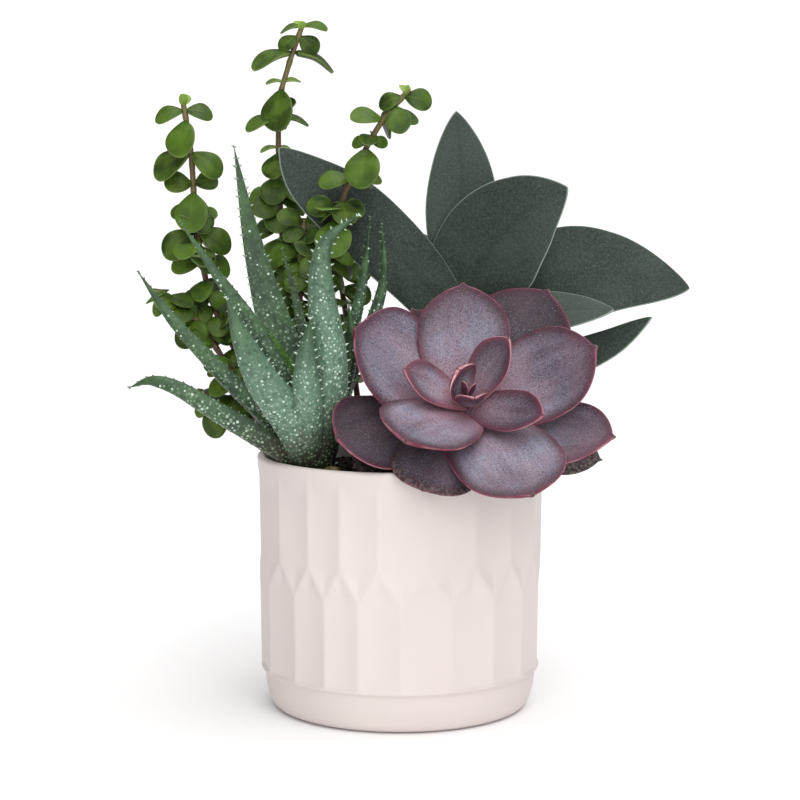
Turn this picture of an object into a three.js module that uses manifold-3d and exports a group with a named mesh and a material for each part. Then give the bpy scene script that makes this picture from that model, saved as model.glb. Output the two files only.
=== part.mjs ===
// A pot of mixed succulents: a fluted ceramic pot with a rosette plant, a velvet-leaved crassula,
// a spotted aloe and an elephant bush growing in its soil.
// Millimetres, +Z up. The origin is the centre of the pot's flat underside, and -Y is the front.
import * as THREE from 'three';
import Module from 'manifold-3d';

const wasm = await Module();
wasm.setup();

// ---------------------------------------------------------------- driving dimensions
const gap = 0.35; // air left between neighbours that touch

// Pot
const rimRadius = 62.5;
const fluteFootRadius = 61.3;
const potHeight = 112.4;
const wall = 3.5;
const floorThickness = 5;
const fluteCount = 20;
const fluteDepth = 1.3;
const firstRidge = 12.5; // degrees from the front towards +X
const fluteFoot = 18.4;
const fluteTop = 108;
const zigzagLow = 57; // points of the upper flutes
const zigzagHigh = 70; // points of the lower flutes
const runOut = 0.22; // how steeply a flute's floor rises to its pointed end
const potColumns = 80;

// Soil
const soilTop = 103;
const soilRadius = 57.45; // clear of the pot's wall, which narrows downwards
const soilColumns = 20;

// Rosette: its crown, and the way that it faces
const crown = new THREE.Vector3(28, -32, 138);
const rosetteAxis = new THREE.Vector3(0.05, -0.7, 0.71).normalize();
const rosetteLeafThickness = 4.2;

// Each row: name, tip, root below the crown along the axis, width, bow, cup, twist in degrees, and for
// some leaves how far the middle sags and the outline
const rosetteLeaves = [
  ['heart_a', [27, -46, 150], 2, 5, 0.6, 0.5, 0],
  ['heart_b', [31, -45, 149], 2, 5, 0.6, 0.5, 0],
  ['inner_back', [24, -42, 156], 1, 16, 1.5, 0.45, 0],
  ['inner_front', [31, -56, 143], 0, 13, 1.5, 0.5, 0],
  ['inner_left', [1, -44, 154], -1, 20, 2, 0.25, 0],
  ['inner_right', [46, -40, 167], -2, 19, 2, 0.45, 0],
  ['inner_low', [60, -60, 136], -3, 20, 1, 0.3, 20],
  ['front_left', [2, -72, 126.5], -6, 42, -1, 0.14, 6, 0, 'fan'],
  ['top', [27, -14, 188], -6, 40, 4, 0.16, 0],
  ['right', [84, -30, 162], -8, 46, 4, 0.14, 0],
  ['bottom', [54, -83, 106], -12, 46, -4, 0.08, 0, 0, 'fan'],
  ['left_high', [-20, -32, 170], -9, 49, 4, 0.14, 0, -3],
  ['left_low', [-27, -57, 126], -12, 42, 3, 0.12, 0, 0, 'fan'],
  ['top_right', [65, 0, 184], -13, 48, 3, 0.12, 0],
  ['right_low', [90, -52, 126], -15, 37, 2, 0.1, 0],
  ['top_left', [5, -3, 176], -16, 36, 3, 0.1, 0],
  ['old_low', [5, -73, 110], -20, 35, -7, -0.1, 0],
  ['old_right', [86, -29, 116], -18, 21, -3, -0.15, 20],
  ['old_left', [-20, -46, 112], -21, 34, -2, -0.1, 0],
  ['old_back', [44, 30, 150], -21, 30, -3, -0.1, 0],
];

// Crassula leaves: name, points from root to tip, width, the way the upper face looks
const crassulaStem = [[33, 27, 84], [34, 28, 110], [33, 25, 145], [32, 24, 172]];
const crassulaStemRadius = 4.5;
const crassulaThickness = 6;
const crassulaLeaves = [
  ['left', [[25, 14, 166], [5, 15, 191], [-20, 14, 215], [-40, 13, 231], [-53, 12, 245]], 33,
    [0.3, -0.85, 0.4]],
  ['wide', [[30, 20, 166], [33, 17, 186], [43, 12, 204], [57, 6, 218], [73, 2, 228]], 50,
    [-0.35, -0.9, 0.1]],
  ['upright', [[31, 26, 172], [28, 28, 205], [27, 30, 235], [25, 31, 261]], 33, [0.1, -1, 0.1]],
  ['right', [[37, 24, 164], [64, 20, 184], [92, 16, 189], [128, 14, 183]], 49, [0, -0.85, 0.5]],
  ['low_right', [[37, 21, 150], [66, 10, 150], [90, 8, 158], [111, 8, 171]], 19, [-0.2, -0.75, 0.6]],
  ['small_right', [[37, 22, 158], [56, 5, 171], [74, 0, 174], [93, -4, 175]], 22, [0, -0.75, 0.6]],
  ['back_left', [[30, 29, 160], [20, 44, 184], [6, 56, 200], [-8, 62, 209]], 30, [0.2, -0.3, 0.9]],
  ['back_right', [[36, 29, 152], [52, 42, 170], [68, 50, 180], [84, 54, 182]], 30, [-0.3, -0.4, 0.9]],
];

// Aloe leaves: name, points from root to tip, width, the way the inner face looks
const aloeStem = [[-38, -23, 84], [-38, -24, 100], [-38, -25, 118]];
const aloeStemRadius = 7;
const aloeToothSpacing = 16;
const aloeToothLength = 1.7;
const aloeLeaves = [
  ['front', [[-38, -28, 110], [-39, -44, 140], [-39, -50, 160], [-37, -52, 176]], 14, [0, 0.9, 0.3]],
  ['broad', [[-39, -27, 112], [-45, -36, 131], [-57, -46, 149], [-65, -50, 167], [-72, -49, 184]], 20,
    [0.4, 0.9, 0.3]],
  ['curled', [[-35, -27, 112], [-31, -34, 139], [-30, -40, 161], [-33, -43, 187], [-31, -42, 206],
    [-17, -37, 218]], 17, [0, 1, 0.1]],
  ['over_rim', [[-42, -27, 112], [-60, -37, 125], [-77, -42, 136], [-93, -43, 146], [-104, -42, 149],
    [-115, -40, 145]], 11, [0.1, 0.75, 0.7]],
  ['low_left', [[-44, -25, 112], [-54, -31, 130], [-74, -36, 151], [-95, -35, 174], [-111, -30, 194]], 11,
    [0.5, 0.6, 0.5]],
  ['long_left', [[-41, -24, 116], [-47, -30, 142], [-60, -33, 169], [-76, -34, 192], [-93, -30, 215]], 10,
    [0.5, 0.7, 0.4]],
  ['tall', [[-40, -21, 114], [-44, -22, 142], [-54, -22, 172], [-63, -18, 206], [-71, -12, 246]], 19,
    [0.3, -1, 0.1]],
  ['bright', [[-42, -22, 116], [-47, -25, 148], [-51, -26, 159], [-57, -27, 170]], 8, [0.3, -0.9, 0.3]],
  ['thin_left', [[-38, -20, 116], [-40, -16, 150], [-44, -14, 177], [-51, -12, 203]], 7, [0, -1, 0.2]],
  ['dark', [[-33, -24, 112], [-26, -22, 138], [-21, -21, 160], [-22, -20, 180]], 10, [-0.3, 0.9, 0.2]],
  ['thin_back', [[-34, -19, 114], [-27, -13, 140], [-18, -9, 178], [-15, -6, 197], [-13, -4, 215]], 7,
    [-0.4, 0.8, 0.3]],
  ['thin_right', [[-33, -21, 112], [-22, -14, 146], [-10, -12, 177], [-7, -12, 193], [-8, -8, 213]], 7,
    [-0.4, 0.8, 0.3]],
];

// Elephant bush shoots: name, stem points, and for each pair of leaves a row of height, turn, leaf length,
// droop, and how far the leaves open to the front
const bushStemRadius = 1.5;
const bushStemEnd = 0.8; // share of the radius left at the top
const bushLeafThickness = 2;
const bushShoots = [
  ['left', [[-42, 10, 84], [-46, 11, 104], [-56, 13, 125], [-70, 14, 150], [-83, 12, 178], [-89, 10, 209],
    [-91, 7, 243], [-94, 6, 264]], [
    [263, 60, 5, -50, 0.9], [261, 0, 12, 15, 0.6], [257, 98, 17, 55, 0.4], [243, 0, 17, 45, 0.5],
    [229, 0, 11, -5, 0.9], [226, 95, 17, 62, 0.4], [214, 5, 10, -10, 0.8], [209, 12, 17, 40, 0.7],
    [202, 90, 13, 30, 0.6], [195, 20, 13, 20, 0.8], [187, 95, 14, 40, 0.5], [179, 0, 13, 20, 0.8],
    [171, 80, 14, 40, 0.6], [162, 20, 13, 20, 0.8], [152, 90, 13, 30, 0.6], [143, 10, 12, 20, 0.7]]],
  ['middle', [[-36, 26, 84], [-41, 29, 104], [-48, 33, 150], [-51, 34, 181], [-54, 36, 224], [-54, 36, 262],
    [-50, 36, 280], [-43, 36, 300]], [
    [300, 90, 5, -40, 0.9], [299, 0, 10, 10, 0.3], [294, 20, 10, 35, 0.8], [287, 0, 19, 32, 0.15],
    [274, 5, 7, 5, 0.2], [271, 98, 19, 62, 0.4], [260, 150, 9, -20, 0.7], [258, 0, 14, 22, 0.2],
    [245, 10, 7, 10, 0.2], [242, 100, 14, 50, 0.4], [232, 70, 14, 55, 0.4], [225, 0, 13, 15, 0.6],
    [217, 90, 14, 45, 0.4], [209, 0, 13, 20, 0.7], [200, 80, 14, 45, 0.5], [191, 0, 13, 20, 0.6],
    [182, 90, 13, 40, 0.5], [171, 10, 13, 25, 0.7], [158, 90, 12, 30, 0.5]]],
  ['right', [[-29, 12, 84], [-33, 10, 104], [-36, 8, 150], [-34, 6, 183], [-28, 3, 214], [-18, -1, 238],
    [-8, -4, 256], [4, -6, 270]], [
    [268, 80, 5, -30, 0.9], [267, 0, 11, 20, 0.9], [263, 125, 14, 50, 0.6], [257, 5, 14, 5, 0.5],
    [250, 60, 9, 20, 0.5], [248, 0, 7, 5, 0.9], [245, 90, 19, 62, 0.4], [232, 0, 13, 15, 0.5],
    [222, 95, 12, 40, 0.4], [217, 10, 12, -10, 0.9], [214, 90, 18, 58, 0.4], [200, 0, 12, 20, 0.7],
    [190, 30, 13, 25, 0.7], [179, 90, 13, 40, 0.5], [168, 0, 12, 20, 0.6], [156, 70, 12, 30, 0.6]]],
  ['side', [[-46, 19, 84], [-49, 19, 104], [-56, 18, 117], [-73, 15, 130], [-90, 12, 138]], [
    [136, 80, 12, 20, 0.6], [134, 0, 13, 30, 0.8], [129, 90, 12, 20, 0.6], [124, 30, 11, 0, 0.8]]],
  ['twig', [[-50, 4, 84], [-51, 3, 104], [-60, 3, 122], [-82, 4, 160], [-95, 5, 176], [-107, 6, 182]], [
    [181, 90, 8, 0, 0.5], [179, 0, 11, 30, 0.8], [175, 80, 12, 30, 0.7], [166, 0, 13, 30, 0.8],
    [154, 90, 13, 20, 0.7], [142, 10, 12, 20, 0.8]]],
  ['inner', [[-40, 2, 84], [-41, 3, 104], [-42, 6, 150], [-44, 8, 185], [-42, 14, 214]], [
    [212, 0, 11, -10, 0.8], [207, 90, 13, 30, 0.6], [200, 0, 14, 20, 0.8], [191, 90, 14, 40, 0.6],
    [182, 10, 13, 20, 0.8], [172, 90, 12, 40, 0.6], [162, 0, 12, 20, 0.7]]],
  ['back', [[-14, 36, 84], [-16, 38, 104], [-22, 46, 150], [-28, 52, 190], [-32, 54, 226]], [
    [224, 0, 11, -10, 0.6], [217, 90, 13, 30, 0.5], [206, 0, 14, 20, 0.5], [194, 90, 14, 40, 0.4],
    [181, 0, 13, 20, 0.5], [168, 90, 13, 30, 0.5], [154, 0, 12, 20, 0.5], [140, 90, 11, 10, 0.4]]],
];

// ---------------------------------------------------------------- leaf shapes
// foot: share of the width at the root; widest: where the full width is; power and blunt: how the end
// closes; mucro: share of the length in the small point; keel: share of the thickness that lies below;
// crowd: how the rings crowd towards the tip
const shapes = {
  spoon: { foot: 0.42, widest: 0.6, power: 2.6, blunt: 0.75, mucro: 0.03, keel: 0.5, crowd: 1.5 },
  fan: { foot: 0.42, widest: 0.66, power: 2.8, blunt: 0.5, mucro: 0.02, keel: 0.5, crowd: 1.7 },
  lance: { foot: 0.6, widest: 0.45, power: 1.7, blunt: 0.8, mucro: 0, keel: 0.5, crowd: 1.15 },
  blade: { foot: 0.85, widest: 0.2, power: 1.5, blunt: 1, mucro: 0, keel: 0.85, crowd: 1.15 },
  round: { foot: 0, widest: 0.6, power: 2, blunt: 0.55, mucro: 0, keel: 0.5, crowd: 1.7 },
};

const vector = (list) => new THREE.Vector3(...list);
const radians = THREE.MathUtils.degToRad;

function widthShare(shape, t) {
  const end = 1 - shape.mucro;
  if (t >= end) {
    return 0.07 * (1 - t) / Math.max(shape.mucro, 1e-6);
  }
  const along = t / end;
  if (along < shape.widest) {
    return shape.foot + (1 - shape.foot) * Math.sin(0.5 * Math.PI * along / shape.widest);
  }
  const past = (along - shape.widest) / (1 - shape.widest);
  return Math.max(0.07, (1 - past ** shape.power) ** shape.blunt);
}

// Skin over rings of equal length, closed by a flat fan at the root and drawn to a point at the tip
function skin(rings, rootCentre, tip, leansLeft = () => false) {
  const count = rings[0].length;
  const points = rings.flat();
  const rootIndex = points.push(rootCentre) - 1;
  const tipIndex = points.push(tip) - 1;
  const faces = [];
  const last = (rings.length - 1) * count;
  for (let j = 0; j < count; j += 1) {
    const next = (j + 1) % count;
    faces.push(rootIndex, next, j);
    faces.push(last + j, last + next, tipIndex);
    for (let k = 0; k < rings.length - 1; k += 1) {
      const here = k * count;
      const above = here + count;
      if (leansLeft(j)) {
        faces.push(here + j, here + next, above + j);
        faces.push(here + next, above + next, above + j);
      } else {
        faces.push(here + j, here + next, above + next);
        faces.push(here + j, above + next, above + j);
      }
    }
  }
  return solidFrom(points, faces);
}

function solidFrom(points, faces) {
  const vertProperties = new Float32Array(points.flatMap((p) => [p.x, p.y, p.z]));
  const triVerts = new Uint32Array(faces);
  return new wasm.Manifold(new wasm.Mesh({ numProp: 3, vertProperties, triVerts }));
}

// A fleshy blade along a line of points. grow swells it, to cut its neighbours clear of it.
function blade(leaf, grow = 0) {
  const { shape, width, thickness, cup = 0, looks, twist = 0, steps = 8, across = 4 } = leaf;
  const curve = new THREE.CatmullRomCurve3(leaf.points.map(vector), false, 'catmullrom', 0.5);
  const rings = [];
  const first = shape.foot > 0 ? 0 : 1; // a leaf with no foot starts from a point
  for (let k = first; k < steps; k += 1) {
    const t = stationAt(shape, k, steps);
    const middle = curve.getPoint(t);
    const ahead = curve.getTangent(t);
    const face = looks.clone().addScaledVector(ahead, -looks.dot(ahead)).normalize();
    face.applyAxisAngle(ahead, radians(twist));
    const side = ahead.clone().cross(face);
    const share = widthShare(shape, t);
    const half = 0.5 * width * share + grow;
    const thick = Math.min(thickness * (1 - 0.5 * t * t), 0.9 * width * share) + 2 * grow;
    const ring = [];
    for (let j = 0; j < 2 * across; j += 1) {
      const top = j <= across;
      const u = top ? -1 + 2 * j / across : 1 - 2 * (j - across) / across;
      const bulge = Math.sqrt(Math.max(0, 1 - u * u)) * thick * (top ? 1 - shape.keel : -shape.keel);
      const lift = cup * half * u * u + bulge;
      ring.push(middle.clone().addScaledVector(side, u * half).addScaledVector(face, lift));
    }
    rings.push(ring);
  }
  const tip = curve.getPoint(1).addScaledVector(curve.getTangent(1), grow);
  const root = curve.getPoint(0).addScaledVector(curve.getTangent(0), -grow);
  return skin(rings, root, tip);
}

// Stations crowd towards the tip, where the outline turns fastest; one sits at the root of the mucro
function stationAt(shape, k, steps) {
  if (shape.mucro > 0) {
    return (1 - shape.mucro) * (1 - (1 - k / (steps - 1)) ** shape.crowd);
  }
  return 1 - (1 - k / steps) ** shape.crowd;
}

// A round stem along a line of points, tapering to the given end share
function stem(points, radius, grow = 0, sides = 8, steps = 6, endShare = 1) {
  const curve = new THREE.CatmullRomCurve3(points.map(vector), false, 'catmullrom', 0.5);
  const rings = [];
  for (let k = 0; k <= steps; k += 1) {
    const t = k / steps;
    const ahead = curve.getTangent(t);
    const right = new THREE.Vector3(0, 1, 0).cross(ahead).normalize();
    const back = ahead.clone().cross(right);
    const size = radius * (1 + (endShare - 1) * t) + grow;
    const ring = [];
    for (let j = 0; j < sides; j += 1) {
      const turn = 2 * Math.PI * j / sides;
      const spoke = right.clone().multiplyScalar(Math.cos(turn)).addScaledVector(back, Math.sin(turn));
      ring.push(curve.getPoint(t).addScaledVector(spoke, size));
    }
    rings.push(ring);
  }
  return skin(rings, curve.getPoint(0), curve.getPoint(1));
}

// ---------------------------------------------------------------- placing the pieces
const group = new THREE.Group();
const grownSolids = []; // swollen copies of what is placed, which later pieces keep clear of

function largestPiece(solid) {
  const pieces = solid.decompose();
  if (pieces.length < 2) {
    return solid;
  }
  return pieces.reduce((best, piece) => (piece.volume() > best.volume() ? piece : best));
}

function boxesMeet(a, b) {
  return [0, 1, 2].every((axis) => a.min[axis] < b.max[axis] && b.min[axis] < a.max[axis]);
}

// Cuts a solid clear of every neighbour, and drops the scraps
function clearOfNeighbours(solid) {
  let left = solid;
  for (const neighbour of grownSolids) {
    if (boxesMeet(left.boundingBox(), neighbour.boundingBox())) {
      left = left.subtract(neighbour);
    }
  }
  return largestPiece(left);
}

function addNode(name, solid, look) {
  const { vertProperties, triVerts } = solid.getMesh();
  const geometry = new THREE.BufferGeometry();
  geometry.setAttribute('position', new THREE.BufferAttribute(new Float32Array(vertProperties), 3));
  geometry.setIndex(Array.from(triVerts));
  geometry.computeVertexNormals();
  const mesh = new THREE.Mesh(geometry, new THREE.MeshStandardMaterial(look));
  mesh.name = name;
  group.add(mesh);
}

function placeLeaf(name, leaf, look) {
  addNode(name, clearOfNeighbours(blade(leaf)), look);
  grownSolids.push(blade(leaf, gap));
}

function placeStem(name, look, ...measures) {
  const [points, radius, sides, steps, endShare] = measures;
  addNode(name, clearOfNeighbours(stem(points, radius, 0, sides, steps, endShare)), look);
  grownSolids.push(stem(points, radius, gap, sides, steps, endShare));
}

// ---------------------------------------------------------------- pot
const looks = {
  pot: { color: 0xece2de, roughness: 0.55, metalness: 0 },
  soil: { color: 0x1d1714, roughness: 0.95, metalness: 0 },
  rosette: { color: 0x71565f, roughness: 0.6, metalness: 0 },
  rosetteStem: { color: 0x6b5a4a, roughness: 0.8, metalness: 0 },
  crassula: { color: 0x4f6256, roughness: 0.8, metalness: 0 },
  aloe: { color: 0x55705a, roughness: 0.55, metalness: 0 },
  bush: { color: 0x557a35, roughness: 0.35, metalness: 0 },
  dried: { color: 0x8d7f5c, roughness: 0.85, metalness: 0 },
};

// How far a flute's floor lies inside the pot's outer skin, at a turn from the front and a height
function fluteRelief(turn, height) {
  const pitch = 360 / fluteCount;
  const across = (((turn - firstRidge) / pitch) % 1 + 1) % 1;
  const fromMiddle = Math.abs(2 * across - 1);
  const boundary = zigzagLow + (zigzagHigh - zigzagLow) * fromMiddle;
  const above = height > boundary;
  const hollow = above ? 1 - fromMiddle ** 2 : 1 - (1 - fromMiddle) ** 2;
  const ends = Math.min(Math.abs(height - boundary), fluteTop - height);
  return Math.max(0, Math.min(fluteDepth * hollow, runOut * ends));
}

// Outer radius of the skin that the flutes are cut into
function skinRadius(height) {
  const share = (height - fluteFoot) / (fluteTop - fluteFoot);
  return fluteFootRadius + (rimRadius - fluteFootRadius) * THREE.MathUtils.clamp(share, 0, 1);
}

function buildPot() {
  const base = [[54.5, 0], [58, 4.5], [60, 16.5]];
  const heights = [fluteFoot, 50.5, 57, 63.5, 70, 76.5, 104, fluteTop];
  const lip = [[rimRadius, 110.8], [60.8, potHeight], [rimRadius - wall, 110.6]];
  const inside = [[57, 18], [52, floorThickness]];
  const rings = [];
  const ringAt = (radiusOf, height) => {
    const ring = [];
    for (let j = 0; j < potColumns; j += 1) {
      const turn = 360 * j / potColumns + firstRidge;
      const radius = radiusOf(turn);
      const angle = radians(turn);
      ring.push(new THREE.Vector3(radius * Math.sin(angle), -radius * Math.cos(angle), height));
    }
    return ring;
  };
  base.forEach(([radius, height]) => rings.push(ringAt(() => radius, height)));
  heights.forEach((height) => {
    rings.push(ringAt((turn) => skinRadius(height) - fluteRelief(turn, height), height));
  });
  lip.forEach(([radius, height]) => rings.push(ringAt(() => radius, height)));
  inside.forEach(([radius, height]) => rings.push(ringAt(() => radius, height)));
  const columnsPerFlute = potColumns / fluteCount;
  const leansLeft = (column) => column % columnsPerFlute < columnsPerFlute / 2;
  return skin(rings, new THREE.Vector3(0, 0, 0), new THREE.Vector3(0, 0, floorThickness), leansLeft);
}

// Soil that fills the pot, with an uneven top
function buildSoil() {
  const rings = [];
  const profile = [[51.4, floorThickness + gap], [56.4, 19], [soilRadius, 96]];
  const topShares = [1, 0.8, 0.55, 0.3];
  const roughTop = (x, y) => {
    const mounds = 1.4 * Math.sin(0.11 * x + 1) * Math.cos(0.13 * y);
    return soilTop + mounds + 0.8 * Math.sin(0.31 * x - 0.27 * y);
  };
  const ringAt = (radius, heightOf) => {
    const ring = [];
    for (let j = 0; j < soilColumns; j += 1) {
      const turn = 2 * Math.PI * j / soilColumns;
      const x = radius * Math.cos(turn);
      const y = radius * Math.sin(turn);
      ring.push(new THREE.Vector3(x, y, heightOf(x, y)));
    }
    return ring;
  };
  profile.forEach(([radius, height]) => rings.push(ringAt(radius, () => height)));
  topShares.forEach((share) => rings.push(ringAt(soilRadius * share, roughTop)));
  const bottom = new THREE.Vector3(0, 0, floorThickness + gap);
  return skin(rings, bottom, new THREE.Vector3(0, 0, roughTop(0, 0)));
}

const pot = buildPot();
addNode('pot', pot, looks.pot);

// ---------------------------------------------------------------- rosette
const crownFoot = crown.clone().addScaledVector(rosetteAxis, -26);
const rosetteStemPoints = [
  [crownFoot.x, 4, 84],
  [crownFoot.x, 2, 104],
  crownFoot.toArray(),
  crown.clone().addScaledVector(rosetteAxis, -1).toArray(),
];
placeStem('rosette_stem', looks.rosetteStem, rosetteStemPoints, 5.5, 8, 6, 0.8);

for (const [name, tip, depth, width, bow, cup, twist, sag = 0, outline = 'spoon'] of rosetteLeaves) {
  const root = crown.clone().addScaledVector(rosetteAxis, depth);
  const end = vector(tip);
  const chord = end.clone().sub(root).normalize();
  const face = rosetteAxis.clone().addScaledVector(chord, -rosetteAxis.dot(chord)).normalize();
  const middle = root.clone().lerp(end, 0.5).addScaledVector(face, -bow);
  middle.z -= sag;
  const small = width < 20;
  placeLeaf(`rosette_${name}`, {
    shape: shapes[outline],
    points: [root.toArray(), middle.toArray(), tip],
    width,
    thickness: Math.min(rosetteLeafThickness, 0.22 * width),
    cup,
    looks: rosetteAxis,
    twist,
    steps: small ? 5 : 7,
    across: small ? 3 : 4,
  }, looks.rosette);
}

// ---------------------------------------------------------------- crassula
placeStem('crassula_stem', looks.crassula, crassulaStem, crassulaStemRadius, 8, 5, 0.8);
for (const [name, points, width, face] of crassulaLeaves) {
  placeLeaf(`crassula_${name}`, {
    shape: shapes.lance,
    points,
    width,
    thickness: Math.min(crassulaThickness, 0.2 * width),
    cup: 0.1,
    looks: vector(face).normalize(),
    steps: 7,
    across: 4,
  }, looks.crassula);
}

// ---------------------------------------------------------------- aloe
// A small three-sided thorn on the margin, leaning towards the tip
function tooth(foot, outward, ahead, face) {
  const point = foot.clone().addScaledVector(outward, aloeToothLength).addScaledVector(ahead, 0.7);
  const inner = foot.clone().addScaledVector(outward, -0.9);
  const corners = [
    inner.clone().addScaledVector(ahead, -0.9),
    inner.clone().addScaledVector(ahead, 0.7).addScaledVector(face, 0.7),
    inner.clone().addScaledVector(ahead, 0.7).addScaledVector(face, -0.7),
    point,
  ];
  const solid = solidFrom(corners, [0, 1, 2, 0, 3, 1, 1, 3, 2, 2, 3, 0]);
  return solid.volume() > 0 ? solid : solidFrom(corners, [0, 2, 1, 0, 1, 3, 1, 2, 3, 2, 0, 3]);
}

function aloeLeaf(points, width, looksTo) {
  const leaf = {
    shape: shapes.blade,
    points,
    width,
    thickness: 0.55 * width,
    cup: 0.12,
    looks: vector(looksTo).normalize(),
    steps: width < 9 ? 5 : 6,
    across: width < 9 ? 2 : 3,
  };
  const curve = new THREE.CatmullRomCurve3(points.map(vector), false, 'catmullrom', 0.5);
  const spacing = width < 9 ? 1.5 * aloeToothSpacing : aloeToothSpacing;
  const count = Math.floor(curve.getLength() / spacing);
  const teeth = [];
  for (let k = 2; k < count; k += 1) {
    const t = k / count;
    const ahead = curve.getTangent(t);
    const face = leaf.looks.clone().addScaledVector(ahead, -leaf.looks.dot(ahead)).normalize();
    const side = ahead.clone().cross(face);
    const half = 0.5 * width * widthShare(leaf.shape, t);
    for (const way of [-1, 1]) {
      const edge = curve.getPoint(t).addScaledVector(side, way * (half - 0.3));
      const foot = edge.addScaledVector(face, leaf.cup * half);
      teeth.push(tooth(foot, side.clone().multiplyScalar(way), ahead, face));
    }
  }
  return { leaf, teeth };
}

placeStem('aloe_stem', looks.aloe, aloeStem, aloeStemRadius, 8, 3, 0.7);
for (const [name, points, width, face] of aloeLeaves) {
  const { leaf, teeth } = aloeLeaf(points, width, face);
  let solid = clearOfNeighbours(blade(leaf));
  for (const thorn of teeth) {
    const free = clearOfNeighbours(thorn);
    const joined = solid.add(free);
    if (joined.decompose().length === 1) {
      solid = joined;
    }
  }
  addNode(`aloe_${name}`, solid, looks.aloe);
  grownSolids.push(blade(leaf, gap));
}

// ---------------------------------------------------------------- elephant bush
function heightOnCurve(curve, height) {
  let low = 0;
  let high = 1;
  for (let turn = 0; turn < 24; turn += 1) {
    const half = 0.5 * (low + high);
    if (curve.getPoint(half).z < height) {
      low = half;
    } else {
      high = half;
    }
  }
  return curve.getPoint(0.5 * (low + high));
}

function bushLeaf(root, turn, length, droop, open, count) {
  const sway = Math.sin(7.1 * count);
  const yaw = radians(turn + 16 * sway);
  const size = length * (1 + 0.08 * Math.sin(3.3 * count));
  const outward = new THREE.Vector3(Math.cos(yaw), Math.sin(yaw), 0);
  const fall = radians(droop + 8 * Math.sin(5.3 * count));
  const heading = outward.multiplyScalar(Math.cos(fall)).setZ(-Math.sin(fall));
  const middle = root.clone().addScaledVector(heading, 0.5 * size);
  middle.z += 0.12 * size;
  const tip = root.clone().addScaledVector(heading, size + 1);
  return {
    shape: shapes.round,
    points: [root.toArray(), middle.toArray(), tip.toArray()],
    width: 0.86 * size,
    thickness: bushLeafThickness,
    cup: 0.1,
    looks: new THREE.Vector3(0.3 * sway, -open, 1 - 0.5 * open).normalize(),
    steps: 4,
    across: 2,
  };
}

// Leaves grow in pairs up the stem. A leaf that would cross something already placed is left out.
let leafCount = 0;
for (const [name, points, pairs] of bushShoots) {
  let shoot = stem(points, bushStemRadius, 0, 4, 9, bushStemEnd);
  const curve = new THREE.CatmullRomCurve3(points.map(vector), false, 'catmullrom', 0.5);
  const grown = [stem(points, bushStemRadius, gap, 4, 9, bushStemEnd)];
  for (const [height, turn, length, droop, open] of pairs) {
    const root = heightOnCurve(curve, height);
    for (const way of [0, 180]) {
      leafCount += 1;
      const leaf = bushLeaf(root, turn + way, length, droop, open, leafCount);
      const solid = blade(leaf);
      const swollen = blade(leaf, gap);
      const crosses = grownSolids.some((other) => boxesMeet(solid.boundingBox(), other.boundingBox())
        && solid.intersect(other).volume() > 0);
      if (!crosses) {
        shoot = shoot.add(solid);
        grown.push(swollen);
      }
    }
  }
  addNode(`bush_${name}`, clearOfNeighbours(shoot), looks.bush);
  grownSolids.push(...grown);
}

// ---------------------------------------------------------------- a dried leaf on the soil
placeLeaf('dried_leaf', {
  shape: shapes.spoon,
  points: [[-34, -37, 103.4], [-30, -41, 106.5], [-26, -43, 112]],
  width: 9,
  thickness: 1.6,
  cup: 0.1,
  looks: new THREE.Vector3(0.3, -0.6, 0.7).normalize(),
  steps: 6,
  across: 4,
}, looks.dried);

// ---------------------------------------------------------------- soil round the stems
let soil = buildSoil();
for (const hole of grownSolids) {
  if (boxesMeet(soil.boundingBox(), hole.boundingBox())) {
    soil = soil.subtract(hole);
  }
}
addNode('soil', largestPiece(soil), looks.soil);

export default group;
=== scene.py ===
# %% [markdown]
# # A pot of mixed succulents
# One fluted ceramic pot holds four plants: a purple rosette, a velvety crassula with paddle leaves, a
# spotted aloe and an elephant bush. The solids of the object are loaded first, as a frame that never
# moves. Each cell after that dresses one kind of piece with a finer mesh in the same place, and gives it
# a finish.

# %% Load the frame
import math
from collections import namedtuple

import bpy
import numpy as np
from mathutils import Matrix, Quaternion, Vector, noise


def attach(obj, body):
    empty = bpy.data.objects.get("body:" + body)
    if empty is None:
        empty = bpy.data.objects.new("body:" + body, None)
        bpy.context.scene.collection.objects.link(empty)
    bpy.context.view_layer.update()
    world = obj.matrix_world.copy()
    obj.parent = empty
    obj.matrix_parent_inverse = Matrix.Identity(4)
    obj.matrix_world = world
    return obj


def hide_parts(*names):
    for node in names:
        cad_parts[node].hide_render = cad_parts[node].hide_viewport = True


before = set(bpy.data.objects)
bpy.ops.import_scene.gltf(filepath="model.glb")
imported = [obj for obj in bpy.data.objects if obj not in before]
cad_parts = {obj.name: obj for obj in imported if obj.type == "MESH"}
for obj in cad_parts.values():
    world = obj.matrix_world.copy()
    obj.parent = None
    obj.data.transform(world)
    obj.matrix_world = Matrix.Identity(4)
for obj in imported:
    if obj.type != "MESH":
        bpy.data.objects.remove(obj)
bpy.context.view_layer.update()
MM = 0.001  # the tables below are in millimetres, and the meshes are in metres
print("CAD nodes:", len(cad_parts))

# %% [markdown]
# ## Camera
# The picture was taken with a long lens from about a metre away, a little above the leaves and tilted
# down. A long lens keeps the pot's rim a flat ellipse. The camera stands straight in front of the pot.

# %% Camera
LENS, SENSOR_WIDTH = 103.5, 36
CAMERA_PLACE = (0, -1.0, 0.258)
CAMERA_TILT = math.radians(7)


def stand(name, data):
    """Puts a mesh, a light or a camera in the scene, as an object of that name."""
    made = bpy.data.objects.new(name, data)
    bpy.context.scene.collection.objects.link(made)
    return made


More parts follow.
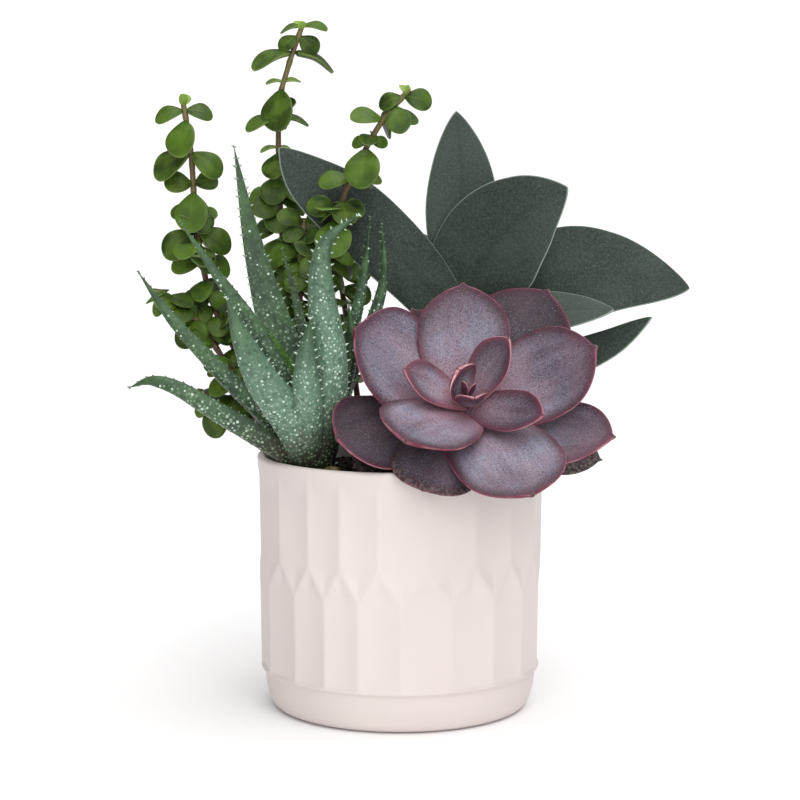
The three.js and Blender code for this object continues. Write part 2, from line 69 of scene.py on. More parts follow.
camera = stand("camera", bpy.data.cameras.new("camera"))
camera.data.lens, camera.data.sensor_width = LENS, SENSOR_WIDTH
camera.location = CAMERA_PLACE
camera.rotation_euler = (math.pi / 2 - CAMERA_TILT, 0, 0)
bpy.context.scene.camera = camera
print("camera stands", round(camera.location.length, 3), "m from the pot")

# %% [markdown]
# ## Node trees in code
# Materials and Geometry Nodes are both trees of nodes. A small class keeps the code that builds them
# short: `add` makes a node and fills its sockets, and `make` returns what the new node gives, as a
# `Value`. Arithmetic on a `Value`, such as `1 - inner * 0.6`, adds the Math nodes that work it out. A
# socket that is given a value of the tree is linked to it, and a socket that is given a plain number
# keeps that number.

# %% Values and trees
def arithmetic(operation, swapped=False):
    def work_out(value, other):
        return value.tree.calc(operation, *((other, value) if swapped else (value, other)))
    return work_out


class Value:
    """What one output of a node gives. Arithmetic on it adds Math nodes."""

    def __init__(self, tree, socket):
        self.tree, self.socket = tree, socket

    def __abs__(self):
        return self.tree.calc("ABSOLUTE", self)

    __add__, __mul__, __truediv__ = arithmetic("ADD"), arithmetic("MULTIPLY"), arithmetic("DIVIDE")
    __sub__, __rsub__ = arithmetic("SUBTRACT"), arithmetic("SUBTRACT", swapped=True)


class Tree:
    """A node tree with short calls for making and joining its nodes."""

    def __init__(self, tree):
        self.tree = tree

    def feed(self, socket, value):
        """Links a value of the tree to a socket, or writes a plain value into it."""
        value = getattr(value, "socket", value)
        if isinstance(value, bpy.types.NodeSocket):
            self.tree.links.new(value, socket)
        else:
            socket.default_value = value

    def add(self, kind, sockets=None, **settings):
        node = self.tree.nodes.new(kind)
        for name, value in settings.items():
            setattr(node, name, value)
        for key, value in (sockets or {}).items():
            self.feed(node.inputs[key], value)
        return node

    def make(self, kind, sockets=None, output=0, **settings):
        return Value(self, self.add(kind, sockets, **settings).outputs[output])

    def calc(self, operation, *values):
        return self.make("ShaderNodeMath", dict(enumerate(values)), operation=operation)

    def fade(self, value, low, high):
        """0 below low, 1 above high, and smooth between them."""
        sockets = {"Value": value, "From Min": low, "From Max": high}
        return self.make("ShaderNodeMapRange", sockets, interpolation_type="SMOOTHSTEP")

    def until(self, value, low, high):
        """1 below low, 0 above high, and smooth between them."""
        return 1 - self.fade(value, low, high)

    def vector(self, x, y, z=0.0):
        return self.make("ShaderNodeCombineXYZ", {"X": x, "Y": y, "Z": z})


# %% [markdown]
# ## Paints
# Every finish is a Principled shader fed by patterns. `Paint` starts one, `coat` lays a colour over what
# is there and `done` ends it. Its patterns read Object coordinates, which here are the real place in
# metres, and the attributes that the meshes carry: how far along the leaf a point lies, how far from the
# margin, and which face it is on.

# %% Short calls for materials
def shade(code):
    """A colour from its web code, turned into the linear numbers that shaders use."""
    channels = [int(code[k:k + 2], 16) / 255 for k in (0, 2, 4)]
    linear = [c / 12.92 if c < 0.04045 else ((c + 0.055) / 1.055) ** 2.4 for c in channels]
    return (*linear, 1.0)


class Paint(Tree):
    """A material in the making. Colours are given as web codes."""

    def __init__(self, name, roughness, **settings):
        self.material = bpy.data.materials.new(name)
        self.material.use_nodes = True
        super().__init__(self.material.node_tree)
        self.shader = self.tree.nodes["Principled BSDF"]
        self.shader.inputs["Roughness"].default_value = roughness
        for socket, value in settings.items():
            self.shader.inputs[socket.replace("_", " ")].default_value = value
        self.place = self.make("ShaderNodeTexCoord", output="Object")

    def read(self, *attributes):
        """The values of some attributes of the mesh, or the value of a single one."""
        found = [self.make("ShaderNodeAttribute", output="Fac", attribute_name=name) for name in attributes]
        return found if len(found) > 1 else found[0]

    def grain(self, scale, detail=2.0, vector=None, distortion=0.0):
        """Cloudy noise from 0 to 1. A scale of 1000 has features about a millimetre across."""
        return self.make("ShaderNodeTexNoise", {
            "Vector": vector or self.place, "Scale": scale, "Detail": detail, "Distortion": distortion})

    def cloud(self, scale, detail, low, high, distortion=0.0):
        """The same noise with more contrast: 0 below low and 1 above high."""
        return self.fade(self.grain(scale, detail, distortion=distortion), low, high)

    def dots(self, scale, radius):
        """1 in small round spots strewn over the surface, 0 between them."""
        distance = self.make("ShaderNodeTexVoronoi", {"Vector": self.place, "Scale": scale}, "Distance")
        return self.until(distance, 0.6 * radius, radius)

    def mix(self, share, under, over):
        """One colour where share is 0, and another where it is 1."""
        node = self.add("ShaderNodeMix", data_type="RGBA")
        for socket, value in zip((0, 6, 7), (share, under, over)):
            self.feed(node.inputs[socket], shade(value) if isinstance(value, str) else value)
        return node.outputs[2]

    def coat(self, share, colour):
        self.colour = self.mix(share, self.colour, colour)

    def done(self, height=None, depth=0.0):
        """Ends the paint. The shading is raised by depth, in millimetres, where height is 1."""
        if height is not None:
            sockets = {"Strength": 1.0, "Distance": depth * MM, "Height": height}
            self.feed(self.shader.inputs["Normal"], self.make("ShaderNodeBump", sockets))
        self.feed(self.shader.inputs["Base Color"], self.colour)
        return self.material


# %% [markdown]
# ## Meshes in code
# A leaf of any of these plants is one fleshy blade: a line from root to tip, a width that swells and
# closes, and a lens-shaped section. `blade` lays rings of points round the line and joins them into a
# closed skin. The same few numbers that shape the solids shape these meshes, with many more rings. Each
# point also keeps where it lies on the leaf, for the paints.

# %% Lines through points
class Line:
    """The smooth line through a few points."""

    def __init__(self, points):
        self.points = [Vector(p) for p in points]

    def at(self, t):
        p = self.points
        place = min(max(t, 0), 1) * (len(p) - 1)
        k = min(int(place), len(p) - 2)
        w = place - k
        before = p[k - 1] if k > 0 else 2 * p[0] - p[1]
        after = p[k + 2] if k + 2 < len(p) else 2 * p[-1] - p[-2]
        leave = 0.5 * (p[k + 1] - before)
        arrive = 0.5 * (after - p[k])
        cube = 2 * p[k] - 2 * p[k + 1] + leave + arrive
        square = 3 * p[k + 1] - 3 * p[k] - 2 * leave - arrive
        return cube * w ** 3 + square * w ** 2 + leave * w + p[k]

    def ahead(self, t):
        small = 1e-4
        return (self.at(t + small) - self.at(t - small)).normalized()

    def at_height(self, height):
        low, high = 0.0, 1.0
        for _ in range(24):
            half = 0.5 * (low + high)
            low, high = (half, high) if self.at(half).z < height else (low, half)
        return self.at(0.5 * (low + high))


# %% Leaf outlines
# foot: share of the width at the root; widest: where the width is full; power, blunt: how the end closes;
# mucro: share of the length in the small point; keel: share of the thickness below; crowd: how much closer
# the rings stand at the tip
Shape = namedtuple("Shape", "foot widest power blunt mucro keel crowd")
SPOON = Shape(0.42, 0.6, 2.6, 0.75, 0.022, 0.5, 1.5)
FAN = Shape(0.42, 0.66, 2.8, 0.5, 0.02, 0.5, 1.7)
LANCE = Shape(0.6, 0.45, 1.7, 0.8, 0, 0.5, 1.15)
BLADE = Shape(0.85, 0.2, 1.5, 1.0, 0, 0.85, 1.15)
ROUND = Shape(0, 0.6, 2.0, 0.55, 0, 0.5, 1.7)
POINT_WIDTH = 0.1  # share of the width where the small point starts


def width_share(shape, t):
    """Share of the full width at each station, from the root at 0 to the tip at 1."""
    along = np.minimum(t / (1 - shape.mucro), 1)
    swell = np.sin(0.5 * np.pi * np.minimum(along / shape.widest, 1))
    past = np.clip((along - shape.widest) / (1 - shape.widest), 0, 1)
    close = (1 - past ** shape.power) ** shape.blunt
    share = np.where(along < shape.widest, shape.foot + (1 - shape.foot) * swell, close)
    point = POINT_WIDTH * np.clip((1 - t) / (1.6 * shape.mucro), 0, 1) ** 0.8 if shape.mucro else 0
    return np.maximum(share, point)


def stations(shape, rows):
    """Where the rings of a leaf lie along it. They crowd towards the tip."""
    return 1 - (1 - np.arange(0 if shape.foot else 1, rows) / rows) ** shape.crowd


def margin_distance(shape, line, width, along, across):
    """How far points of the flattened leaf lie from its outline. across is their distance from the line."""
    fine = np.linspace(0, 1, 500)
    spine = np.array([line.at(t) for t in fine])
    run = np.concatenate([[0], np.cumsum(np.linalg.norm(np.diff(spine, axis=0), axis=1))])
    edge = 0.5 * width * width_share(shape, fine)
    outline = np.concatenate([np.stack([run, edge], 1), np.stack([run, -edge], 1)])
    spots = np.stack(np.broadcast_arrays(np.interp(along, fine, run)[:, None], across), -1)
    return np.linalg.norm(spots[:, :, None] - outline, axis=-1).min(-1)


print("widths of a spoon leaf:", width_share(SPOON, np.array([0, 0.5, 0.9, 1])).round(2))


# %% Closed skins and what their points carry
def closed_skin(name, rings, root, tip):
    """Joins rings of points into one closed mesh, with a fan at the root and one at the tip."""
    rows, count = rings.shape[:2]
    points = np.vstack([rings.reshape(-1, 3), root, tip]) * MM
    last = (rows - 1) * count
    faces = []
    for j in range(count):
        n = (j + 1) % count
        faces.append((rows * count, n, j))
        faces.append((last + j, last + n, rows * count + 1))
        for here in range(0, last, count):
            faces.append((here + j, here + n, here + count + n, here + count + j))
    mesh = bpy.data.meshes.new(name)
    mesh.from_pydata(points.tolist(), [], faces)
    mesh.shade_smooth()
    return stand(name, mesh)


def write(piece, attribute, values):
    """Stores a number, or a direction, for each point of a mesh. One number alone goes to all of them."""
    values = np.asarray(values, float)
    if values.ndim == 0:
        values = np.full(len(piece.data.vertices), values)
    kind, field = ("FLOAT", "value") if values.ndim == 1 else ("FLOAT_VECTOR", "vector")
    piece.data.attributes.new(attribute, kind, "POINT").data.foreach_set(field, values.ravel())


# %% The fleshy blade
RIPPLES = 9.0  # how fast the margin ripples along a leaf, in radians
SIDE_LAG, LEAF_LAG = 2.4, 40  # so that neither its two sides nor two leaves ripple alike
GROOVE_WIDTH = 0.09  # of the middle groove, as a share of half the leaf's width


def blade(name, shape, points, width, thickness, cup, looks, twist=0, rows=52, columns=16,
          wave=0.0, groove=0.0, edge=1.0, tone=0.5, age=0.0):
    """A fleshy leaf along a line of points. looks is the way that its upper face looks."""
    line = Line(points)
    along = stations(shape, rows)
    share = width_share(shape, along)
    turn = np.pi * np.arange(2 * columns) / columns
    u = -np.cos(turn)
    half = (0.5 * width * share)[:, None]
    across = u * half
    upper = np.arange(2 * columns) <= columns
    thick = np.minimum(thickness * (1 - 0.5 * along ** 2), 0.9 * width * share)
    bulge = np.abs(np.sin(turn)) ** edge * np.where(upper, 1 - shape.keel, -shape.keel)
    lift = cup * half * u ** 2 + bulge * thick[:, None]
    arch = np.sin(np.pi * along)[:, None]
    lift -= groove * np.exp(-(u / GROOVE_WIDTH) ** 2) * arch * np.where(upper, 1, 0.4)
    lift += wave * np.sin(RIPPLES * along[:, None] + SIDE_LAG * np.sign(u) + LEAF_LAG * tone) * u ** 2 * arch
    frames = []
    for t in along:
        ahead = line.ahead(t)
        up = (Vector(looks) - ahead * ahead.dot(Vector(looks))).normalized()
        up.rotate(Quaternion(ahead, math.radians(twist)))
        frames.append((line.at(t), ahead.cross(up), up))
    middle, side, face = (np.array(column)[:, None] for column in zip(*frames))
    rings = middle + side * across[..., None] + face * lift[..., None]
    made = closed_skin(name, rings, line.at(0), line.at(1))
    for attribute, values, ends in (
            ("along", along[:, None], (0, 1)), ("across", u, (0, 0)),
            ("margin", margin_distance(shape, line, width, along, across), (width, 0)),
            ("upper", 0.5 + 0.5 * np.sin(turn), (0.5, 0.5))):
        write(made, attribute, np.append(np.broadcast_to(values, across.shape), ends))
    write(made, "tone", tone)
    write(made, "age", age)
    outward = np.broadcast_to(side * np.sign(u)[:, None], rings.shape).reshape(-1, 3)
    write(made, "outward", np.vstack([outward, [0, 0, 1], [0, 0, 1]]))
    return made


# %% Round stems, and the frame
def tube(name, points, radius, end_share, ring_every, ring_height):
    """A round stem along a line of points, with the raised rings that old leaves leave on it."""
    sides, rows = 24, 40
    line = Line(points)
    length = sum((a - b).length for a, b in zip(line.points, line.points[1:]))
    turns = [2 * math.pi * j / sides for j in range(sides)]
    rings = []
    for t in (k / rows for k in range(rows + 1)):
        ahead = line.ahead(t)
        right = Vector((0, 1, 0)).cross(ahead).normalized()
        back = ahead.cross(right)
        scar = max(0.0, math.cos(2 * math.pi * t * length / ring_every)) ** 8
        size = radius * (1 + (end_share - 1) * t) + ring_height * scar
        rings.append([line.at(t) + size * (math.cos(a) * right + math.sin(a) * back) for a in turns])
    made = closed_skin(name, np.array(rings), line.at(0), line.at(1))
    for attribute in ("margin", "tone", "age"):
        write(made, attribute, 0.5)
    write(made, "along", np.append(np.repeat(np.linspace(0, 1, rows + 1), sides), [0, 1]))
    return made


def dress(piece, finish, node):
    """Gives a piece its finish, unless it has one, hangs it from the root body and hides the CAD solid that
    it stands for.
    """
    if finish:
        piece.data.materials.clear()
        piece.data.materials.append(finish)
    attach(piece, "root")
    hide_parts(node)


# %% [markdown]
# ## Geometry Nodes in code
# What repeats, or follows a rule, is made by Geometry Nodes: the flutes of the pot, the crumbs of the
# soil, the spots and teeth of the aloe and the leaves of the elephant bush. A `Recipe` is one such tree
# with named inputs. `run` puts it on a piece, sets its inputs by their identifiers, and keeps the result
# as a plain mesh.

# %% Short calls for Geometry Nodes
class Recipe(Tree):
    """A Geometry Nodes tree: geometry comes in, passes through named inputs and nodes, and goes out."""

    def __init__(self, name, inputs):
        super().__init__(bpy.data.node_groups.new(name, "GeometryNodeTree"))
        new_socket = self.tree.interface.new_socket
        for way in ("INPUT", "OUTPUT"):
            new_socket("Geometry", in_out=way, socket_type="NodeSocketGeometry")
        for label, value in inputs.items():
            is_paint = isinstance(value, bpy.types.Material)
            is_piece = isinstance(value, bpy.types.Object)
            kind = "Material" if is_paint else "Object" if is_piece else "Float"
            new_socket(label, in_out="INPUT", socket_type=f"NodeSocket{kind}").default_value = value
        start = self.tree.nodes.new("NodeGroupInput")
        self.inputs = {label: Value(self, start.outputs[label]) for label in inputs}
        self.geometry = start.outputs["Geometry"]

    def read(self, attribute, kind="FLOAT"):
        return self.make("GeometryNodeInputNamedAttribute", {"Name": attribute}, data_type=kind)

    def read_direction(self, attribute):
        return self.read(attribute, "FLOAT_VECTOR")

    def store(self, geometry, attribute, value):
        sockets = {"Geometry": geometry, "Name": attribute, "Value": value}
        return self.make("GeometryNodeStoreNamedAttribute", sockets, data_type="FLOAT")

    def chance(self, low, high, seed):
        """A random number for each point or instance, the same on every run."""
        return self.make("FunctionNodeRandomValue", {2: low, 3: high, "Seed": seed}, 1, data_type="FLOAT")

    def chance_vector(self, low, high, seed):
        sockets = {0: low, 1: high, "Seed": seed}
        return self.make("FunctionNodeRandomValue", sockets, data_type="FLOAT_VECTOR")

    def scaled(self, direction, size):
        return self.make("ShaderNodeVectorMath", {0: direction, "Scale": size}, operation="SCALE")

    def summed(self, direction, other):
        return self.make("ShaderNodeVectorMath", {0: direction, 1: other}, operation="ADD")

    def moved(self, geometry, offset):
        return self.make("GeometryNodeSetPosition", {"Geometry": geometry, "Offset": offset})

    def paint(self, geometry, label):
        sockets = {"Geometry": geometry, "Material": self.inputs[label]}
        return self.make("GeometryNodeSetMaterial", sockets)

    def strew(self, gap, most, seed, **sockets):
        """Points spread at random over the faces, none nearer to another than the gap."""
        sockets = {key.replace("_", " "): value for key, value in sockets.items()}
        sockets |= {"Mesh": self.geometry, "Distance Min": gap, "Density Max": most, "Seed": seed}
        return self.add("GeometryNodeDistributePointsOnFaces", sockets, distribute_method="POISSON").outputs

    def join(self, *parts):
        node = self.add("GeometryNodeJoinGeometry")
        for part in parts:
            self.feed(node.inputs[0], part)
        return node.outputs[0]

    def copies(self, points, shape, rotation, scale):
        sockets = {"Points": points, "Instance": shape, "Rotation": rotation, "Scale": scale}
        made = self.make("GeometryNodeInstanceOnPoints", sockets)
        return self.make("GeometryNodeRealizeInstances", {"Geometry": made})

    def out(self, geometry):
        end = self.tree.nodes.new("NodeGroupOutput")
        self.feed(end.inputs[0], self.make("GeometryNodeSetShadeSmooth", {"Geometry": geometry}))
        return self


def run(recipe, piece, **values):
    """Runs a recipe on a piece and keeps the result as the piece's own mesh."""
    modifier = piece.modifiers.new(recipe.tree.name, "NODES")
    modifier.node_group = recipe.tree
    for item in recipe.tree.interface.items_tree:
        if item.in_out == "INPUT" and item.socket_type != "NodeSocketGeometry":
            label = item.name.lower().replace(" ", "_")
            modifier[item.identifier] = values.get(label, item.default_value)
    graph = bpy.context.evaluated_depsgraph_get()
    mesh = bpy.data.meshes.new_from_object(
        piece.evaluated_get(graph), preserve_all_data_layers=True, depsgraph=graph)
    piece.modifiers.remove(modifier)
    piece.data = mesh
    mesh.name = piece.name


# %% [markdown]
# ## The pot
# The real pot is cast stoneware with a satin glaze. Twenty scooped flutes run down its upper half and
# twenty more run up its lower half, half a flute over, so that their points interlock in a zigzag. The
# wall is a profile spun round the axis. The flutes are a rule of the angle and the height, so Geometry
# Nodes presses them in: each point moves towards the axis by the depth of the flute there. Flutes cut by
# hand aren't quite even, so two slow waves shift them sideways by a few degrees.

# %% Pot sizes and profile
RIM_RADIUS = 62.5
FLUTE_FOOT_RADIUS = 61.3
FLUTE_FOOT, FLUTE_TOP = 18.4, 107.8
FLUTES = 20
COLUMNS_PER_FLUTE = 22
FIRST_RIDGE = math.radians(12.5)


def spun(name, profile, columns, first=0.0):
    """A closed mesh spun round Z from a list of (radius, height) that starts and ends on the axis."""
    turns = first + 2 * np.pi * np.arange(columns) / columns
    rings = [[(r * math.sin(a), -r * math.cos(a), z) for a in turns] for r, z in profile[1:-1]]
    start, end = ((0, 0, z) for _, z in (profile[0], profile[-1]))
    return closed_skin(name, np.array(rings), start, end)


def smooth_profile(points, count):
    line = Line([(r, 0, z) for r, z in points])
    return [(line.at(t).x, line.at(t).z) for t in np.linspace(0, 1, count)]


foot = [(51.6, 0), (51.9, 0.55)]
foot += smooth_profile([(53.4, 0.6), (55, 1.1), (56.9, 3.2), (58.4, 7.5), (59.3, 12), (59.6, 16)], 16)
step = smooth_profile([(59.7, 16.4), (60.1, 17.2), (61.0, 17.8), (61.3, FLUTE_FOOT)], 6)
heights = np.arange(FLUTE_FOOT + 0.8, FLUTE_TOP + 0.9, 1.0)
slope = (RIM_RADIUS - FLUTE_FOOT_RADIUS) / (FLUTE_TOP - FLUTE_FOOT)
wall = [(FLUTE_FOOT_RADIUS + slope * (z - FLUTE_FOOT), z) for z in heights]
lip = [(62.5, 109.4), (62.55, 111), (61.9, 112), (60.9, 112.4), (59.8, 112), (59.1, 110.8)]
lip = smooth_profile(lip, 14)
inside = smooth_profile([(59, 108), (58.6, 80), (57.2, 20), (55.5, 8), (51, 5)], 12)
pot_profile = [(0, 0), (30, 0), *foot, *step, *wall, *lip, *inside, (25, 5), (0, 5)]
pot = spun("fine_pot", pot_profile, FLUTES * COLUMNS_PER_FLUTE, FIRST_RIDGE)
print("pot profile points:", len(pot_profile))


# %% The flutes, pressed in by rule
def flute_recipe():
    recipe = Recipe("press flutes", {
        "Flutes": float(FLUTES), "First ridge": FIRST_RIDGE, "Depth": 1.3 * MM, "Run out": 0.16,
        "Low point": 57 * MM, "High point": 70 * MM, "Top": FLUTE_TOP * MM, "Softness": 0.7 * MM,
        "Slow wander": math.radians(2.6), "Quick wander": math.radians(1.35)})
    value, calc = recipe.inputs, recipe.calc
    position = recipe.make("GeometryNodeInputPosition")
    axes = recipe.add("ShaderNodeSeparateXYZ", {"Vector": position}).outputs
    x, y, z = (Value(recipe, axis) for axis in axes)
    radius = calc("SQRT", x * x + y * y)
    turn = calc("ARCTAN2", x, y * -1)
    slow = value["Slow wander"] * calc("COSINE", turn * 3 + 2.75)
    quick = value["Quick wander"] * calc("COSINE", turn * 5 - 2.12)
    turn = turn - (slow + quick) - value["First ridge"]
    count = turn * (value["Flutes"] / (2 * math.pi))
    from_middle = abs(calc("FRACT", count) * 2 - 1)
    zigzag = from_middle * (value["High point"] - value["Low point"]) + value["Low point"]
    is_upper = calc("GREATER_THAN", z, zigzag)
    # an upper flute is deepest in its middle, and a lower one is deepest below an upper ridge
    side = is_upper * from_middle + (1 - is_upper) * (1 - from_middle)
    scoop = value["Depth"] * (1 - side * side)
    ramp = value["Run out"] * calc("MINIMUM", abs(z - zigzag), value["Top"] - z)
    relief = calc("MAXIMUM", 0, calc("SMOOTH_MIN", scoop, ramp, value["Softness"]))
    inward = relief * recipe.read("fluted") * -1 / radius
    return recipe.out(recipe.moved(recipe.geometry, recipe.vector(x * inward, y * inward)))


wall_start = 1 + len(foot) + len(step)
is_fluted = np.zeros(len(pot_profile) - 2)
is_fluted[wall_start:wall_start + len(wall)] = 1
write(pot, "fluted", np.append(np.repeat(is_fluted, FLUTES * COLUMNS_PER_FLUTE), [0, 0]))
run(flute_recipe(), pot)


# %% Satin glaze
def satin_glaze():
    """Off-white satin glaze: very slight warm clouds, and a faint orange-peel in the gloss."""
    paint = Paint("satin_glaze", 0.46, Specular_IOR_Level=0.4)
    paint.colour = paint.mix(paint.cloud(18, 3, 0.35, 0.65), "d9cfcb", "d6cbc8")
    return paint.done(paint.grain(900), 0.03)


dress(pot, satin_glaze(), "pot")
print("pot faces:", len(pot.data.polygons))

# %% [markdown]
# ## Soil
# Potting soil is a dark bed of crumbs of many sizes. The bed is one closed body that fills the pot, with
# a bumpy top and a low mound by the aloe. Geometry Nodes strew two sizes of crumb over the top, each a
# ball with few faces that noise has knocked out of round, turned and stretched at random from a fixed
# seed.

# %% Soil bed
SOIL_TOP = 103.0
SOIL_RADIUS = 57.6
MOUND_PLACE, MOUND_WIDTH, MOUND_HEIGHT = (-46, -24), 18, 4


def soil_height(x, y):
    mounds = 1.4 * math.sin(0.11 * x + 1) * math.cos(0.13 * y) + 0.8 * math.sin(0.31 * x - 0.27 * y)
    apart = (x - MOUND_PLACE[0]) ** 2 + (y - MOUND_PLACE[1]) ** 2
    mounds += MOUND_HEIGHT * math.exp(-apart / MOUND_WIDTH ** 2)
    bumps = 1.1 * noise.noise(Vector((0.16 * x, 0.16 * y, 3)))
    return SOIL_TOP + mounds + bumps + 0.7 * noise.noise(Vector((0.5 * x, 0.5 * y, 7)))


bed_profile = [(0, 5.4), (40, 5.4), (51.4, 5.5), (56.4, 19), (57.5, 96)]
bed_profile += [(SOIL_RADIUS * r, SOIL_TOP) for r in np.linspace(1, 0.03, 50)] + [(0, SOIL_TOP)]
soil = spun("fine_soil", bed_profile, 150)
is_top = []
for vertex in soil.data.vertices:
    top = vertex.co.z > 0.1
    is_top.append(float(top))
    if top:
        vertex.co.z = soil_height(vertex.co.x / MM, vertex.co.y / MM) * MM
write(soil, "top", is_top)


# %% Crumbs, and the paint of damp soil
MOST_CRUMBS = 400000.0  # to a square metre, before the gaps thin them out
FULL_TURN = (6.3, 6.3, 6.3)


def damp_soil():
    """Near-black brown soil with lighter fibres and grains in it."""
    paint = Paint("damp_soil", 0.92, Specular_IOR_Level=0.25)
    paint.colour = paint.mix(paint.cloud(260, 4, 0.35, 0.7), "16100c", "3a2b20")
    paint.coat(paint.dots(420, 0.22) * 0.5, "7a664e")
    return paint.done(paint.grain(900, 4), 0.6)


def crumb_recipe():
    recipe = Recipe("strew crumbs", {
        "Clod gap": 4.2 * MM, "Clod size": 2.0 * MM, "Grain gap": 1.7 * MM, "Grain size": 0.8 * MM,
        "Paint": soil_paint})
    value, parts = recipe.inputs, [recipe.geometry]
    for label, faces, seed in (("Clod", 2, 5), ("Grain", 1, 11)):
        points = recipe.strew(value[f"{label} gap"], MOST_CRUMBS, seed, Selection=recipe.read("top"))
        ball = recipe.make("GeometryNodeMeshIcoSphere", {"Radius": 1.0, "Subdivisions": faces})
        jitter = recipe.make("ShaderNodeTexNoise", {"Scale": 1.3, "Detail": 1.0}, "Color")
        knocked = recipe.moved(ball, recipe.summed(jitter, (-0.5, -0.5, -0.5)))
        turned = recipe.make("FunctionNodeEulerToRotation", {
            "Euler": recipe.chance_vector((0, 0, 0), FULL_TURN, seed + 1)})
        stretch = recipe.chance_vector((0.4, 0.4, 0.3), (1.15, 1.0, 0.8), seed + 2)
        size = recipe.scaled(stretch, value[f"{label} size"])
        parts.append(recipe.copies(points["Points"], knocked, turned, size))
    return recipe.out(recipe.paint(recipe.join(*parts), "Paint"))


soil_paint = damp_soil()
run(crumb_recipe(), soil)
dress(soil, None, "soil")
print("soil faces:", len(soil.data.polygons))

# %% [markdown]
# ## The rosette
# The leaves of the rosette are spoons with a small point. They are mauve under a frosty bloom, the bloom
# is rubbed in places, and the margin is a crisp pink-red line. The leaves stand round one axis that
# leans to the front. The table gives each leaf's tip, how far below the crown it is rooted, its width,
# how far it bows, how deep it cups and how it twists, and the blades are laid out from these.

# %% Rosette leaf table
CROWN = Vector((28, -32, 138))
ROSETTE_AXIS = Vector((0.05, -0.7, 0.71)).normalized()
ROSETTE_THICKNESS, ROSETTE_THICK_SHARE = 4.2, 0.22  # the most, and the most as a share of the width
CROWN_DEPTH = 26
ROSETTE = [
    # name, tip, root below the crown, width, bow, cup, twist, age, sag of the middle, outline, bloom and
    # painted shade
    ("heart_a", (26.5, -46.5, 149), 2, 4, 0.8, 0.4, 0, -1, 0, SPOON, 0.6),
    ("heart_b", (31.5, -46, 148), 2, 4, 0.8, 0.4, 0, -1, 0, SPOON, 0.6),
    ("inner_back", (24.5, -42.7, 153.6), 1, 18.5, 1.5, 0.22, 0, -1, 0, FAN, 0.6),
    ("inner_front", (31, -56, 143), 0, 13, 1.5, 0.5, 0, -0.6, 0, SPOON, 0.6),
    ("inner_left", (1, -44, 154), -1, 20, 2, 0.25, 0, -0.5, 0, SPOON, 0.9),
    ("inner_right", (46, -40, 167), -2, 19, 2, 0.45, 0, -0.7, 0, SPOON, 0.5),
    ("inner_low", (60, -60, 136), -3, 20, 1, 0.3, 20, -0.4, 0, SPOON, 0.4),
    ("front_left", (2, -72, 126.5), -6, 42, -1, 0.14, 6, 0.1, 0, FAN, 1.05),
    ("top", (27, -14, 188), -6, 40, 4, 0.16, 0, 0, 0, SPOON, 0.6),
    ("right", (84, -30, 162), -8, 46, 4, 0.14, 0, 0, 0, SPOON, 0.66),
    ("bottom", (54, -82.7, 106), -12, 46, -4, 0.08, 0, 0, 0, FAN, 0.75),
    ("left_high", (-20, -32, 170), -9, 49, 4, 0.14, 0, 0, -3, SPOON, 0.74),
    ("left_low", (-27, -57, 126), -12, 42, 3, 0.12, 0, 0.2, 0, FAN, 0.2),
    ("top_right", (65, 0, 184), -13, 48, 3, 0.12, 0, 0, 0, SPOON, 0.15),
    ("right_low", (90, -52, 126), -15, 37, 2, 0.1, 0, 0.1, 0, SPOON, 0.58),
    ("top_left", (5, -3, 176), -16, 36, 3, 0.1, 0, 0, 0, SPOON, 0.2),
    ("old_low", (9, -75, 107), -20, 38, -7, -0.14, 0, 0.55, 0, FAN, 0.3),
    ("old_right", (86.5, -30, 113), -18, 24, -3, -0.25, 20, 1, 0, SPOON, 0.3),
    ("old_left", (-20, -46, 112), -21, 34, -2, -0.1, 0, 0.6, 0, SPOON, 0.1),
    ("old_back", (44, 30, 150), -21, 30, -3, -0.1, 0, 0.3, 0, SPOON, 0.4),
]


